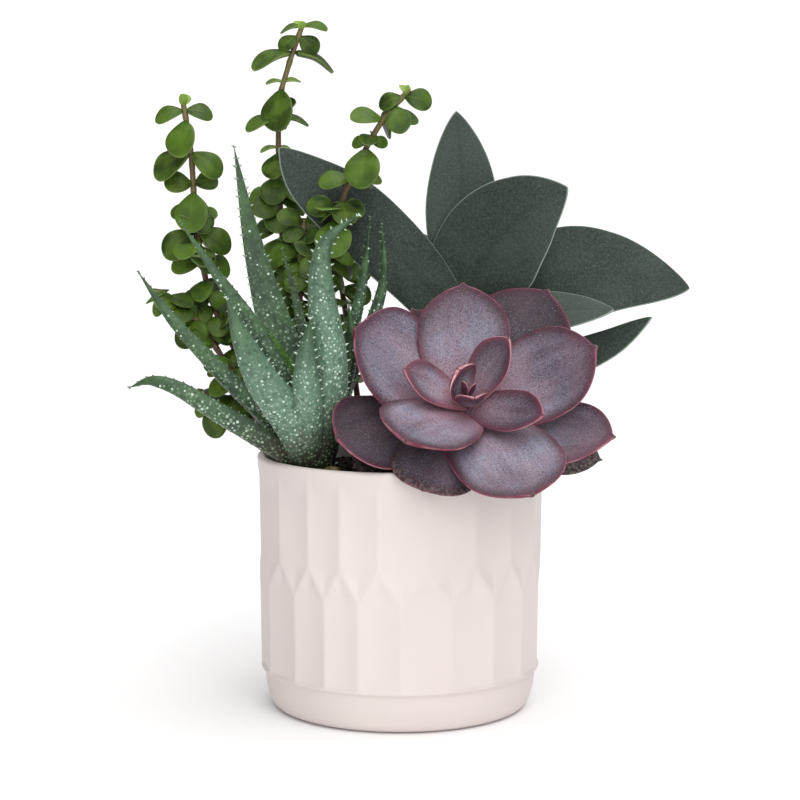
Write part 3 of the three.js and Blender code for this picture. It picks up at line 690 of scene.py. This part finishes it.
# %% The paint of a bloomed mauve leaf
def bloomed_leaf():
    """Wine-dark flesh under a blue-grey bloom that fades towards the tip, pink at the base. The rim is a thin
    red line with a pale hairline outside it, and old leaves end in a dry crust."""
    paint = Paint("bloomed_leaf", 0.5, Specular_IOR_Level=0.25, Subsurface_Weight=0.05,
                  Subsurface_Radius=(0.004, 0.0015, 0.0012), Subsurface_Scale=0.6)
    calc, fade, until, grain = paint.calc, paint.fade, paint.until, paint.grain
    cloud, mix, coat, specks = paint.cloud, paint.mix, paint.coat, paint.dots(800, 0.2)
    along, across, margin, tone, age, bloom = paint.read("along", "across", "margin", "tone", "age", "bloom")
    # little bloom gives darker flesh: partly the leaf's own colour, partly painted shade on leaves that lie
    # in the shadow of others
    paint.colour = mix(fade(bloom, 0.0, 0.5), "1e131a", mix(cloud(90, 3, 0.3, 0.7), "3a2630", "503743"))
    # the bloom is worn off in patches, and in streaks that run along the leaf
    leafwise = paint.vector(across * 2.2, along * 1.1, tone * 40)
    lengthwise = paint.make("ShaderNodeVectorMath", {0: leafwise, 1: (7, 1.6, 1)}, operation="MULTIPLY")
    patches, streaks = grain(36, 9) * 2.3 - 0.2, grain(1.6, 4, leafwise) * 1.3 - 0.65
    fine_streaks = grain(2.4, 5, lengthwise) * 0.9 - 0.45
    inland = fade(margin, 0.2, 6.5) * (1 - fade(along, 0.5, 1.0) * 0.6)
    bloomed = inland * (patches + streaks + fine_streaks) * bloom
    coat(bloomed, mix(cloud(75, 5, 0.36, 0.64, distortion=0.6), "8f838f", "878697"))
    # pink at the base, a blush here and there, frost, pores and pale specks
    coat(until(along, 0.12, 0.62) * (bloom * 0.75 + 0.15), "b07f8c")
    coat(cloud(48, 3, 0.5, 0.72) * (bloom * 0.45 + 0.02), "8c5f6e")
    coat(cloud(1700, 2, 0.42, 0.68) * (bloomed * 0.35 + 0.08), "b5aabd")
    coat(cloud(1500, 3, 0.5, 0.7) * 0.62, "33242e")
    coat(specks * cloud(60, 2, 0.45, 0.65) * 0.5, "c3b7c8")
    # a flush along the margin, the red rim and the hairline
    young = fade(age * -1, 0.0, 1.0)
    coat(until(margin, 0.4, 3.5) * 0.35, mix(young, "5c2a3b", "9a5068"))
    rim_width = (grain(140, 3) * 0.6 + 0.04) * (1 - young * 0.45)
    rim = mix(age * 0.9, mix(cloud(100, 2, 0.35, 0.65), "6f2039", "96526a"), "785546")
    coat(until(margin / rim_width, 0.6, 1.15), mix(young, rim, "9c4a64"))
    broken = cloud(130, 2, 0.4, 0.6) * 0.6
    coat(until(margin, 0.02, 0.14) * calc("MAXIMUM", broken, young), "cba7a3")
    # the dry crust of old leaves, and the dry point of every leaf
    crust = 1 - margin / (age * 8 + 0.5) + (grain(500, 5) * 1.6 - 0.8)
    crust = fade(crust, 0.25, 0.7) * fade(age, 0.3, 0.7)
    crust = calc("MAXIMUM", crust, fade(along, 0.975, 0.995) * 0.7)
    coat(crust, mix(cloud(700, 4, 0.4, 0.65), "2c2225", "675b58"))
    return paint.done(grain(700, 3) * 0.6 + specks, 0.1)


# %% Lay out the rosette
rosette_paint = bloomed_leaf()
for number, (name, tip, depth, width, bow, cup, twist, age, sag, outline, bloom) in enumerate(ROSETTE):
    root = CROWN + depth * ROSETTE_AXIS
    chord = (Vector(tip) - root).normalized()
    across_chord = (ROSETTE_AXIS - ROSETTE_AXIS.dot(chord) * chord).normalized()
    middle = root.lerp(Vector(tip), 0.5) - bow * across_chord - Vector((0, 0, sag))
    thickness = min(ROSETTE_THICKNESS, ROSETTE_THICK_SHARE * width)
    leaf = blade(f"fine_rosette_{name}", outline, [root, middle, tip], width, thickness, cup, ROSETTE_AXIS,
                 twist, rows=56, columns=20, wave=0.012 * width, groove=0.25, edge=0.85,
                 tone=(0.37 * number) % 1, age=age)
    write(leaf, "bloom", bloom)
    dress(leaf, rosette_paint, f"rosette_{name}")

crown_foot = CROWN - CROWN_DEPTH * ROSETTE_AXIS
stem_points = [(crown_foot.x, 4, 84), (crown_foot.x, 2, 104), crown_foot, CROWN - ROSETTE_AXIS]


# %% Woody stems
def woody_stem():
    """Dry grey-brown skin with fine cracks, pink where the leaves join."""
    paint = Paint("woody_stem", 0.8)
    paint.colour = paint.mix(paint.cloud(220, 4, 0.35, 0.7), "4c3d30", "8a7762")
    paint.coat(paint.fade(paint.read("along"), 0.6, 0.85), "8d6874")
    return paint.done(paint.grain(600, 4), 0.4)


rosette_stem = tube("fine_rosette_stem", stem_points, 5.5, end_share=0.8, ring_every=5, ring_height=0.5)
dress(rosette_stem, woody_stem(), "rosette_stem")
print("rosette leaves:", len(ROSETTE))

# %% [markdown]
# ## The crassula
# Its leaves are thick grey-green paddles in pairs, dark as slate in the shade. Their skin is covered by
# tiny hairs that scatter light at grazing angles, which the shader's sheen gives, and the edge is a thin
# pale line.

# %% Crassula leaf table
CRASSULA_THICKNESS, CRASSULA_THICK_SHARE = 6.0, 0.2
CRASSULA_STEM = [(33, 27, 84), (34, 28, 110), (33, 25, 145), (32, 24, 172)]
CRASSULA = [
    # name, points from root to tip, width, the way that the upper face looks, paleness, partly painted light
    # and shade
    ("left", [(25, 14, 166), (5, 15, 191), (-20, 14, 215), (-40, 13, 231), (-53, 12, 245)], 33,
     (0.12, -0.9, 0.38), 0.0),
    ("wide", [(30, 20, 166), (33, 17, 186), (43, 12, 204), (57, 6, 218), (73, 2, 228)], 50,
     (-0.35, -0.9, 0.1), 0.2),
    ("upright", [(31, 26, 172), (28, 28, 205), (27, 30, 235), (25, 31, 261)], 33, (0.1, -1, 0.1), 0.6),
    ("right", [(37, 24, 164), (64, 20, 184), (92, 16, 189), (128, 14, 183)], 49, (0, -0.85, 0.5), 0.1),
    ("low_right", [(37, 21, 150), (66, 10, 150), (90, 8, 158), (111, 8, 171)], 19, (-0.2, -0.75, 0.6), 0.2),
    ("small_right", [(37, 22, 158), (56, 5, 171), (74, 0, 174), (93, -4, 175)], 22, (0, -0.75, 0.6), 0.8),
    ("back_left", [(30, 29, 160), (20, 44, 184), (6, 56, 200), (-8, 62, 209)], 30, (0.2, -0.3, 0.9), 0.3),
    ("back_right", [(36, 29, 152), (52, 42, 170), (68, 50, 180), (84, 54, 182)], 30, (-0.3, -0.4, 0.9), 0.3),
]


# %% The paint of a velvet leaf
def velvet_leaf():
    """Dark grey-green skin under a short velvet nap, with a thin pale edge."""
    paint = Paint("velvet_leaf", 0.75, Specular_IOR_Level=0.2, Sheen_Weight=0.12, Sheen_Roughness=0.6,
                  Sheen_Tint=shade("b9c2b9"))
    coat, until = paint.coat, paint.until
    across, margin, paleness_and_shade = paint.read("across", "margin", "tone")
    paint.colour = paint.mix(paint.cloud(42, 4, 0.3, 0.7, distortion=0.4), "212a24", "303b34")
    # paler on some leaves: partly the leaf's own tone, partly painted light and shade set leaf by leaf
    coat(paleness_and_shade * 0.7, "4c564e")
    coat(paint.cloud(1100, 3, 0.35, 0.7) * 0.35, "545f57")
    coat(paint.dots(560, 0.2) * 0.2, "7d8a80")
    coat(until(abs(across), 0.0, 0.12) * 0.2, "1f2520")
    coat(until(margin, 0.15, 0.55) * 0.75, "9aa79a")
    return paint.done(paint.grain(1100, 3), 0.18)


velvet_paint = velvet_leaf()
for name, points, width, face, paleness_and_shade in CRASSULA:
    thickness = min(CRASSULA_THICKNESS, CRASSULA_THICK_SHARE * width)
    leaf = blade(f"fine_crassula_{name}", LANCE, points, width, thickness, 0.1, face, rows=60, columns=20,
                 wave=0.01 * width, groove=0.3, tone=paleness_and_shade)
    dress(leaf, velvet_paint, f"crassula_{name}")
stem = tube("fine_crassula_stem", CRASSULA_STEM, 4.5, end_share=0.8, ring_every=14, ring_height=0.5)
dress(stem, velvet_paint, "crassula_stem")
print("crassula leaves:", len(CRASSULA))

# %% [markdown]
# ## The aloe
# Each leaf is a thick blade, rounded behind and nearly flat inside. White teeth stand along both
# margins, and raised white spots cover the skin, close together near the base and sparse towards the
# tip. Teeth follow the two margins and spots follow the surface, so both are Geometry Nodes work: the
# margin edges become curves that are cut into even steps, and the spots are spread with a smallest gap
# between them.

# %% Aloe leaf table
ALOE_STEM = [(-38, -23, 84), (-38, -24, 100), (-38, -25, 118)]
ALOE = [
    # name, points from root to tip, width, the way that the inner face looks
    ("front", [(-38, -28, 110), (-39, -44, 140), (-39, -50, 160), (-37, -52, 176)], 14, (0, 0.9, 0.3)),
    ("broad", [(-39, -27, 112), (-45, -36, 131), (-57, -46, 149), (-65, -50, 167), (-72, -49, 184)], 20,
     (0.4, 0.9, 0.3)),
    ("curled", [(-35, -27, 112), (-31, -34, 139), (-30, -40, 161), (-33, -43, 187), (-31, -42, 206),
                (-17, -37, 218)], 17, (0, 1, 0.1)),
    ("over_rim", [(-42, -27, 112), (-60, -37, 125), (-77, -42, 136), (-93, -43, 146), (-104, -42, 149),
                  (-114, -40, 145.3)], 11, (0.1, 0.75, 0.7)),
    ("low_left", [(-44, -25, 112), (-54, -31, 130), (-74, -36, 151), (-95, -35, 174), (-111, -30, 194)], 11,
     (0.5, 0.6, 0.5)),
    ("long_left", [(-41, -24, 116), (-47, -30, 142), (-60, -33, 169), (-76, -34, 192), (-93, -30, 215)], 10,
     (0.5, 0.7, 0.4)),
    ("tall", [(-40, -21, 114), (-44, -22, 142), (-54, -22, 172), (-63, -18, 206), (-71, -12, 246)], 19,
     (0.3, -1, 0.1)),
    ("bright", [(-42, -22, 116), (-47, -25, 148), (-51, -26, 159), (-57, -27, 170)], 8, (0.3, -0.9, 0.3)),
    ("thin_left", [(-38, -20, 116), (-40, -16, 150), (-44, -14, 177), (-51, -12, 203)], 7, (0, -1, 0.2)),
    ("dark", [(-33, -24, 112), (-26, -22, 138), (-21, -21, 160), (-22, -20, 180)], 10, (-0.3, 0.9, 0.2)),
    ("thin_back", [(-34, -19, 114), (-27, -13, 140), (-18, -9, 178), (-15, -6, 197), (-13, -4, 215)], 7,
     (-0.4, 0.8, 0.3)),
    ("thin_right", [(-33, -21, 112), (-22, -14, 146), (-10, -12, 177), (-7, -12, 193), (-8, -8, 213)], 7,
     (-0.4, 0.8, 0.3)),
]
SILVERY = {"front": 1, "broad": 0.95, "curled": 1, "tall": 0.35, "over_rim": 0.2, "long_left": 0.2}
LEAST_SILVERY = 0.15
GREEN_INSIDE = ("bright", "long_left")
FULL_WIDTH = 14  # narrower leaves have smaller teeth, and smaller spots that stand closer
ALOE_ROWS, ALOE_COLUMNS = 70, 14
MOST_SPOTS = 500000.0  # to a square metre, before the gap thins them out


# %% Aloe paints
def aloe_skin():
    """Grey-green skin, silvery towards the base, with an inner face that is greener on some leaves."""
    paint = Paint("aloe_skin", 0.5, Specular_IOR_Level=0.35)
    cloud, coat, dots, until = paint.cloud, paint.coat, paint.dots, paint.until
    along, upper, silvery, greener = paint.read("along", "upper", "tone", "age")
    inner = paint.fade(upper, 0.5, 0.75)
    paint.colour = paint.mix(cloud(110, 4, 0.3, 0.7), "263a22", "435f3a")
    coat((1 - inner * 0.6) * until(along, 0.3, 1.1) * silvery, "668570")
    coat(inner * greener, "4a7026")
    coat(dots(560, 0.42) * until(along, 0.1, 0.9) * 0.7, "9db5a0")
    coat(cloud(330, 3, 0.5, 0.72) * 0.5, "1d2d1a")
    # dark brown low down near the soil: partly soil stain, partly painted shade among the leaf bases
    from_soil = silvery * 0.04 + (paint.grain(150, 3) * 0.12 + along)
    coat(until(from_soil, 0.14, 0.46) * 0.95, "251f15")
    return paint.done(paint.grain(420, 3) + dots(330, 0.3), 0.2)


def chalky_spot():
    """The greenish white of the raised spots and of the teeth, some spots greener than others."""
    paint = Paint("chalky_spot", 0.6)
    # tone is partly random and partly painted shade, which makes spots near the leaf base a darker green
    paint.colour = paint.mix(paint.fade(paint.read("tone"), 0.0, 0.8), "526a4c", "bfd4c0")
    return paint.done()


# %% Spots and teeth
def aloe_recipe():
    recipe = Recipe("spots and teeth", {
        "Spot gap": 1.6 * MM, "Spot size": 0.7 * MM, "Tooth gap": 4.2 * MM, "Tooth size": 1.15 * MM,
        "Tooth jitter": 1.3 * MM, "Seed": 3.0, "Skin": aloe_paint, "Chalk": chalk_paint})
    value, fade, chance, make = recipe.inputs, recipe.fade, recipe.chance, recipe.make
    along, tipward = recipe.read("along"), recipe.read_direction("tipward")
    near_base = recipe.until(along, 0.2, 1.0)
    density = (near_base * 0.75 + 0.25) * (1 - fade(recipe.read("upper"), 0.5, 0.6) * 0.6)
    off_margin = fade(recipe.read("margin"), 0.7, 1.0)
    points = recipe.strew(value["Spot gap"], MOST_SPOTS, value["Seed"], Density_Factor=density * off_margin)
    # spot tone: random from spot to spot, and darker near the base as painted shade
    chalk_and_base_shade = chance(0.0, 1.0, 15) * fade(along, 0.05, 0.35)
    toned = recipe.store(points["Points"], "tone", chalk_and_base_shade)
    wide = chance(0.45, 1.25, 8) * (near_base * 0.25 + 0.65) * value["Spot size"]
    dome = make("GeometryNodeMeshUVSphere", {"Segments": 7, "Rings": 5, "Radius": 1.0})
    spots = recipe.copies(toned, dome, points["Rotation"], recipe.vector(wide, wide, wide * 0.35))
    on_margin = recipe.calc("GREATER_THAN", abs(recipe.read("across")), 0.9999)
    margins = make("GeometryNodeMeshToCurve", {"Mesh": recipe.geometry, "Selection": on_margin})
    steps = make("GeometryNodeResampleCurve", {"Curve": margins, "Length": value["Tooth gap"]}, mode="LENGTH")
    slip = value["Tooth jitter"] * chance(-1.0, 1.0, 34)
    uneven = recipe.moved(steps, recipe.scaled(tipward, slip))
    thorn = make("GeometryNodeMeshCone", {
        "Vertices": 6, "Radius Top": 0.06, "Radius Bottom": 0.7, "Depth": 1.9})
    rooted = make("GeometryNodeTransform", {"Geometry": thorn, "Translation": (0, 0, -0.45)})
    heading = recipe.summed(recipe.read_direction("outward"), recipe.scaled(tipward, 0.45))
    aimed = make("FunctionNodeAlignRotationToVector", {"Vector": heading}, axis="Z")
    teeth = recipe.copies(uneven, rooted, aimed, value["Tooth size"] * chance(0.75, 1.2, 21))
    chalk = recipe.paint(recipe.join(spots, teeth), "Chalk")
    return recipe.out(recipe.join(recipe.paint(recipe.geometry, "Skin"), chalk))


aloe_paint, chalk_paint = aloe_skin(), chalky_spot()
aloe_tree = aloe_recipe()
for number, (name, points, width, face) in enumerate(ALOE):
    silvery = SILVERY.get(name, LEAST_SILVERY)
    leaf = blade(f"fine_aloe_{name}", BLADE, points, width, 0.55 * width, 0.12, face, rows=ALOE_ROWS,
                 columns=ALOE_COLUMNS, wave=0.01 * width, tone=silvery, age=float(name in GREEN_INSIDE))
    line = Line(points)
    ahead = [line.ahead(t) for t in stations(BLADE, ALOE_ROWS)]
    write(leaf, "tipward", np.vstack([np.repeat(ahead, 2 * ALOE_COLUMNS, axis=0), ahead[0], ahead[-1]]))
    slim = min(1.0, width / FULL_WIDTH)
    run(aloe_tree, leaf, seed=float(number), tooth_size=(0.5 + 0.42 * slim) * MM,
        spot_size=(0.45 + 0.25 * slim) * MM, spot_gap=(1.4 + 0.2 * slim - 0.3 * silvery) * MM)
    dress(leaf, None, f"aloe_{name}")
    print(leaf.name, "faces:", len(leaf.data.polygons))
stem = tube("fine_aloe_stem", ALOE_STEM, 7, end_share=0.7, ring_every=6, ring_height=0.6)
dress(stem, aloe_paint, "aloe_stem")

# %% [markdown]
# ## The elephant bush
# Thin red-brown shoots carry small glossy leaves in pairs, each pair turned from the last. A shoot is a
# chain of edges for its stem and loose points for its leaves. Geometry Nodes turn the chain into a
# tapering stem, and place one leaf on each point with that point's own size and turn. The leaves high on
# the shoots are in plain sight and get a fine mesh. The many leaves below them get one with a few dozen
# faces.

# %% Elephant bush table
BUSH_STEM_RADIUS = 1.5
BUSH_STEM_END = 0.8
BUSH = [
    # name, stem points, then for each pair: height, turn, leaf length, droop, how far it opens to the front
    ("left", [
        (-42, 10, 84), (-46, 11, 104), (-56, 13, 125), (-70, 14, 150), (-83, 12, 178), (-89, 10, 209),
        (-91, 7, 243), (-94, 6, 264)], [
        (263, 60, 5, -50, 0.9), (261, 0, 12, 15, 0.6), (257, 98, 17, 55, 0.4), (243, 0, 17, 45, 0.5),
        (229, 0, 11, -5, 0.9), (226, 95, 17, 62, 0.4), (214, 5, 10, -10, 0.8), (209, 12, 17, 40, 0.7),
        (202, 90, 13, 30, 0.6), (195, 20, 13, 20, 0.8), (187, 95, 14, 40, 0.5), (179, 0, 13, 20, 0.8),
        (171, 80, 14, 40, 0.6), (162, 20, 13, 20, 0.8), (152, 90, 13, 30, 0.6), (143, 10, 12, 20, 0.7)]),
    ("middle", [
        (-36, 26, 84), (-41, 29, 104), (-48, 33, 150), (-51, 34, 181), (-54, 36, 224), (-54, 36, 262),
        (-50, 36, 280), (-43, 36, 300)], [
        (297, 90, 5, -30, 0.9), (298.6, 0, 10, 12, 0.3), (294, 20, 10, 35, 0.8), (287, 0, 19, 32, 0.15),
        (274, 5, 7, 5, 0.2), (271, 98, 19, 62, 0.4), (260, 150, 9, -20, 0.7), (258, 0, 14, 22, 0.2),
        (245, 10, 7, 10, 0.2), (242, 100, 14, 50, 0.4), (232, 70, 14, 55, 0.4), (225, 0, 13, 15, 0.6),
        (217, 90, 14, 45, 0.4), (209, 0, 13, 20, 0.7), (200, 80, 14, 45, 0.5), (191, 0, 13, 20, 0.6),
        (182, 90, 13, 40, 0.5), (171, 10, 13, 25, 0.7), (158, 90, 12, 30, 0.5)]),
    ("right", [
        (-29, 12, 84), (-33, 10, 104), (-36, 8, 150), (-34, 6, 183), (-28, 3, 214), (-18, -1, 238),
        (-8, -4, 256), (4, -6, 270)], [
        (268, 80, 5, -30, 0.9), (267, 0, 11, 20, 0.9), (263, 125, 14, 50, 0.6), (257, 5, 14, 5, 0.5),
        (250, 60, 9, 20, 0.5), (248, 0, 7, 5, 0.9), (245, 90, 19, 62, 0.4), (232, 0, 13, 15, 0.5),
        (222, 95, 12, 40, 0.4), (217, 10, 12, -10, 0.9), (214, 90, 18, 58, 0.4), (200, 0, 12, 20, 0.7),
        (190, 30, 13, 25, 0.7), (179, 90, 13, 40, 0.5), (168, 0, 12, 20, 0.6), (156, 70, 12, 30, 0.6)]),
    ("side", [
        (-46, 19, 84), (-49, 19, 104), (-56, 18, 117), (-73, 15, 130), (-90, 12, 138)], [
        (136, 80, 12, 20, 0.6), (134, 0, 13, 30, 0.8), (129, 90, 12, 20, 0.6), (132, 165, 15, 65, 0.35)]),
    ("twig", [
        (-50, 4, 84), (-51, 3, 104), (-60, 3, 122), (-82, 4, 160), (-95, 5, 176), (-107, 6, 182)], [
        (181, 90, 8, 0, 0.5), (179, 0, 11, 30, 0.8), (175, 80, 12, 30, 0.7), (166, 0, 13, 30, 0.8),
        (154, 90, 13, 20, 0.7), (142, 10, 12, 20, 0.8)]),
    ("inner", [
        (-40, 2, 84), (-41, 3, 104), (-42, 6, 150), (-44, 8, 185), (-42, 14, 214)], [
        (212, 0, 11, -10, 0.8), (207, 90, 13, 30, 0.6), (200, 0, 14, 20, 0.8), (191, 90, 14, 40, 0.6),
        (182, 10, 13, 20, 0.8), (172, 90, 12, 40, 0.6), (162, 0, 12, 20, 0.7)]),
    ("back", [
        (-14, 36, 84), (-16, 38, 104), (-22, 46, 150), (-28, 52, 190), (-32, 54, 226)], [
        (224, 0, 11, -10, 0.6), (217, 90, 13, 30, 0.5), (206, 0, 14, 20, 0.5), (194, 90, 14, 40, 0.4),
        (181, 0, 13, 20, 0.5), (168, 90, 13, 30, 0.5), (154, 0, 12, 20, 0.5), (140, 90, 11, 10, 0.4)]),
]


# %% Elephant bush paints
def glossy_leaf():
    """Satin green flesh, paler along the middle and at the thin rim. Young leaves are a yellower green."""
    paint = Paint("glossy_leaf", 0.42, Specular_IOR_Level=0.2, Subsurface_Weight=0.08,
                  Subsurface_Radius=(0.0015, 0.003, 0.0006), Subsurface_Scale=0.5)
    cloud, coat, until = paint.cloud, paint.coat, paint.until
    along, across, margin, tone, upper = paint.read("along", "across", "margin", "tone", "upper")
    paint.colour = paint.mix(tone, "1e2f0e", "49651c")
    coat(cloud(160, 4, 0.35, 0.7) * 0.55, "5f7c2a")
    coat(cloud(95, 3, 0.45, 0.7) * 0.5, "2a4312")
    coat(until(abs(across), 0.0, 0.2) * until(along, 0.3, 0.9) * 0.2, "6f8a3a")
    coat(paint.fade(tone, 1.0, 2.0), "8aa44c")
    coat(until(upper, 0.3, 0.5) * 0.45, "4d5546")
    coat(until(margin, 0.008, 0.03) * 0.35, "8ea35a")
    return paint.done(paint.grain(500, 3), 0.15)


def red_bark():
    """Smooth red-brown bark, olive on the young wood near the top."""
    paint = Paint("red_bark", 0.5)
    paint.colour = paint.mix(paint.cloud(300, 3, 0.35, 0.7), "3f241c", "6b4030")
    paint.coat(paint.fade(paint.read("along"), 0.55, 1.0) * 0.75, "6f6a3c")
    return paint.done()


# %% The recipe of a shoot
def shoot_recipe():
    recipe = Recipe("leafy shoot", {
        "Near leaf": near_leaf, "Far leaf": far_leaf, "Stem radius": BUSH_STEM_RADIUS * MM,
        "End share": BUSH_STEM_END, "Leaf paint": glossy_paint, "Bark paint": bark_paint})
    value, calc, make = recipe.inputs, recipe.calc, recipe.make

    def split(geometry, attribute):
        """The part of some geometry where an attribute is 1, and the rest of it."""
        sockets = {"Geometry": geometry, "Selection": recipe.read(attribute)}
        return recipe.add("GeometryNodeSeparateGeometry", sockets).outputs

    leaf_points, chain = split(recipe.geometry, "holds_leaf")
    line = make("GeometryNodeMeshToCurve", {"Mesh": chain})
    share = make("GeometryNodeSplineParameter", output="Factor")
    taper = share * (value["End share"] - 1) + 1
    ring = calc("POWER", calc("MAXIMUM", calc("COSINE", share * 110), 0), 6)
    stem = make("GeometryNodeCurveToMesh", {
        "Curve": recipe.store(line, "along", share), "Fill Caps": True,
        "Profile Curve": make("GeometryNodeCurvePrimitiveCircle", {"Resolution": 10, "Radius": 1.0}),
        "Scale": taper * value["Stem radius"] * (ring * 0.22 + 1)})
    pieces = [recipe.paint(stem, "Bark paint")]
    axes = {"Primary Axis": recipe.read_direction("face"), "Secondary Axis": recipe.read_direction("side")}
    turn = make("FunctionNodeAxesToRotation", axes, primary_axis="Z", secondary_axis="X")
    size = recipe.read("size")
    narrowed = recipe.vector(size * recipe.chance(0.92, 1.12, 4), size, size)
    for points, label in zip(split(leaf_points, "in_sight"), ("Near leaf", "Far leaf")):
        leaf = make("GeometryNodeObjectInfo", {"Object": value[label]}, "Geometry")
        pieces.append(recipe.paint(recipe.copies(points, leaf, turn, narrowed), "Leaf paint"))
    return recipe.out(recipe.join(*pieces))


# %% Where the leaves stand
NEAR_HEIGHT = 200  # leaves above it are in plain sight
DENSE_HEIGHT = 228  # pairs are added between those below it
BARE_HEIGHT, LOW_STEP = 118, 9  # pairs are added below the lowest one of a tall shoot, down to this height
CHAIN_POINTS = 90
FLAT = Vector((1, 0, 0))


def leaf_spots(points, pairs, first_number):
    """Where each leaf of a shoot stands: its root, size, side, face and tone, and if it is in plain sight."""
    line = Line(points)
    spots = []
    for height, turn, length, droop, opening in pairs:
        for half_turn in (0, 180):
            number = first_number + len(spots) + 1
            sway = math.sin(7.1 * number)
            yaw = math.radians(turn + half_turn + 16 * sway)
            fall = math.radians(droop + 8 * math.sin(5.3 * number))
            level = math.cos(fall)
            heading = Vector((math.cos(yaw) * level, math.sin(yaw) * level, -math.sin(fall)))
            looks = Vector((0.3 * sway, -opening, 1 - 0.5 * opening)).normalized()
            face = (looks - heading * heading.dot(looks)).normalized()
            size = length * (1 + 0.08 * math.sin(3.3 * number)) + 1
            tone = 0.5 + 0.5 * math.sin(11.7 * number) + max(0.0, 0.4 * (9 - length))
            spots.append((line.at_height(height), size * MM, heading.cross(face), face, tone,
                          float(height > NEAR_HEIGHT)))
    return spots


def filled(pairs):
    """The pairs of a shoot, with more between and below them low down, where the real bush is dense."""
    lowest = pairs[-1][0]
    added = []
    if pairs[0][0] > NEAR_HEIGHT:
        for k in range(int((lowest - BARE_HEIGHT) / LOW_STEP)):
            added.append((lowest - LOW_STEP * (k + 1), 70 * k, 11.5 + math.sin(4 * k),
                          30 + 25 * math.sin(5 * k), 0.6))
    for k, ((high, turn, *_), (low, *_)) in enumerate(zip(pairs, pairs[1:])):
        if high < DENSE_HEIGHT:
            added.append((0.5 * (high + low), turn + 50 + 20 * math.sin(5 * k), 12 + 2.5 * math.sin(3 * k),
                          20 + 40 * math.sin(4 * k), 0.55 + 0.4 * math.sin(7 * k)))
    return pairs + added


def leaf_shape(name, rows, columns):
    """One leaf, a metre long, that the shoots place and shrink."""
    leaf = blade(name, ROUND, [(0, 0, 0), (0, 500, 110), (0, 1000, 0)], 800, 150, 0.12, (0, 0, 1),
                 rows=rows, columns=columns, groove=14)
    leaf.data.attributes.remove(leaf.data.attributes["tone"])
    margins = leaf.data.attributes["margin"].data
    margins.foreach_set("value", [distance.value * MM for distance in margins])
    return leaf


# %% Lay out the shoots
glossy_paint, bark_paint = glossy_leaf(), red_bark()
near_leaf, far_leaf = leaf_shape("near_leaf", 15, 8), leaf_shape("far_leaf", 9, 4)
shoot_tree = shoot_recipe()
leaf_count = 0
for name, points, pairs in BUSH:
    line = Line(points)
    chain = [line.at(t) for t in np.linspace(0, 1, CHAIN_POINTS)]
    roots, sizes, sides, faces, tones, sights = zip(*leaf_spots(points, filled(pairs), leaf_count))
    leaf_count += 2 * len(pairs)
    mesh = bpy.data.meshes.new(f"fine_bush_{name}")
    mesh.from_pydata([p * MM for p in (*chain, *roots)], [(k, k + 1) for k in range(CHAIN_POINTS - 1)], [])
    shoot = stand(mesh.name, mesh)
    for attribute, blank, values in (
            ("holds_leaf", 0, [1] * len(roots)), ("size", 0, sizes), ("side", FLAT, sides),
            ("face", FLAT, faces), ("tone", 0, tones), ("in_sight", 0, sights)):
        write(shoot, attribute, [blank] * CHAIN_POINTS + list(values))
    run(shoot_tree, shoot)
    dress(shoot, None, f"bush_{name}")
    print(shoot.name, "leaves:", len(roots), "faces:", len(shoot.data.polygons))
for leaf in (near_leaf, far_leaf):
    bpy.data.objects.remove(leaf)
print("elephant bush leaves in the table:", leaf_count)


# %% [markdown]
# ## A dried leaf
# One shed leaf lies on the soil by the aloe. It has dried to a thin, curled, papery tan.

# %% Dried leaf
def papery():
    """Dry tan leaf tissue with darker patches and a rough skin."""
    paint = Paint("papery", 0.85, Specular_IOR_Level=0.2)
    paint.colour = paint.mix(paint.cloud(350, 4, 0.35, 0.7), "6d5f40", "a8996f")
    return paint.done(paint.grain(500, 3), 0.5)


dried = blade("fine_dried_leaf", SPOON, [(-34, -37, 103.4), (-30, -41, 106.5), (-26, -43, 112)], 9, 1.2, 0.3,
              (0.3, -0.6, 0.7), wave=0.6)
dress(dried, papery(), "dried_leaf")


# %% [markdown]
# ## Floor and light
# The pot stands on a plain pale floor under soft studio light. The key comes from the front, a little
# from the right and above, and a broad light that stands high on the right whitens the floor. Both are
# suns, because a sun lights a wide floor evenly, and both spread over a wide angle, so that their
# shadows are soft. The world fills the rest, and is brighter where the camera sees it as the backdrop.

# %% Floor and lights
FLOOR_HALF = 6.0
FILL, EXTRA_BACKDROP = 0.28, 0.8


def pale_floor():
    paint = Paint("pale_floor", 0.9, Specular_IOR_Level=0.1)
    paint.colour = shade("fbfafa")
    return paint.done()


floor_mesh = bpy.data.meshes.new("floor")
floor_corners = [(x * FLOOR_HALF, y * FLOOR_HALF, 0) for x, y in ((-1, -1), (1, -1), (1, 1), (-1, 1))]
floor_mesh.from_pydata(floor_corners, [], [(0, 1, 2, 3)])
floor = stand("floor", floor_mesh)
floor_mesh.materials.append(pale_floor())


def sun(name, azimuth, elevation, spread, strength):
    """A far light. azimuth is counted from the front towards the right; a wide spread gives soft shadows."""
    data = bpy.data.lights.new(name, "SUN")
    data.energy, data.angle = strength, math.radians(spread)
    side, rise = math.radians(azimuth), math.radians(elevation)
    place = Vector((math.sin(side) * math.cos(rise), -math.cos(side) * math.cos(rise), math.sin(rise)))
    stand(name, data).rotation_euler = (-place).to_track_quat("-Z", "Y").to_euler()


sun("key", 7, 25, 60, 1.78)
sun("top", 70, 80, 70, 2.25)

world = bpy.data.worlds.new("studio")
bpy.context.scene.world = world
world.use_nodes = True
sky = Tree(world.node_tree)
seen = sky.make("ShaderNodeLightPath", output="Is Camera Ray")
backdrop = world.node_tree.nodes["Background"]
backdrop.inputs["Color"].default_value = (1, 1, 1, 1)
sky.feed(backdrop.inputs["Strength"], seen * EXTRA_BACKDROP + FILL)
bpy.context.scene.view_settings.view_transform = "Standard"
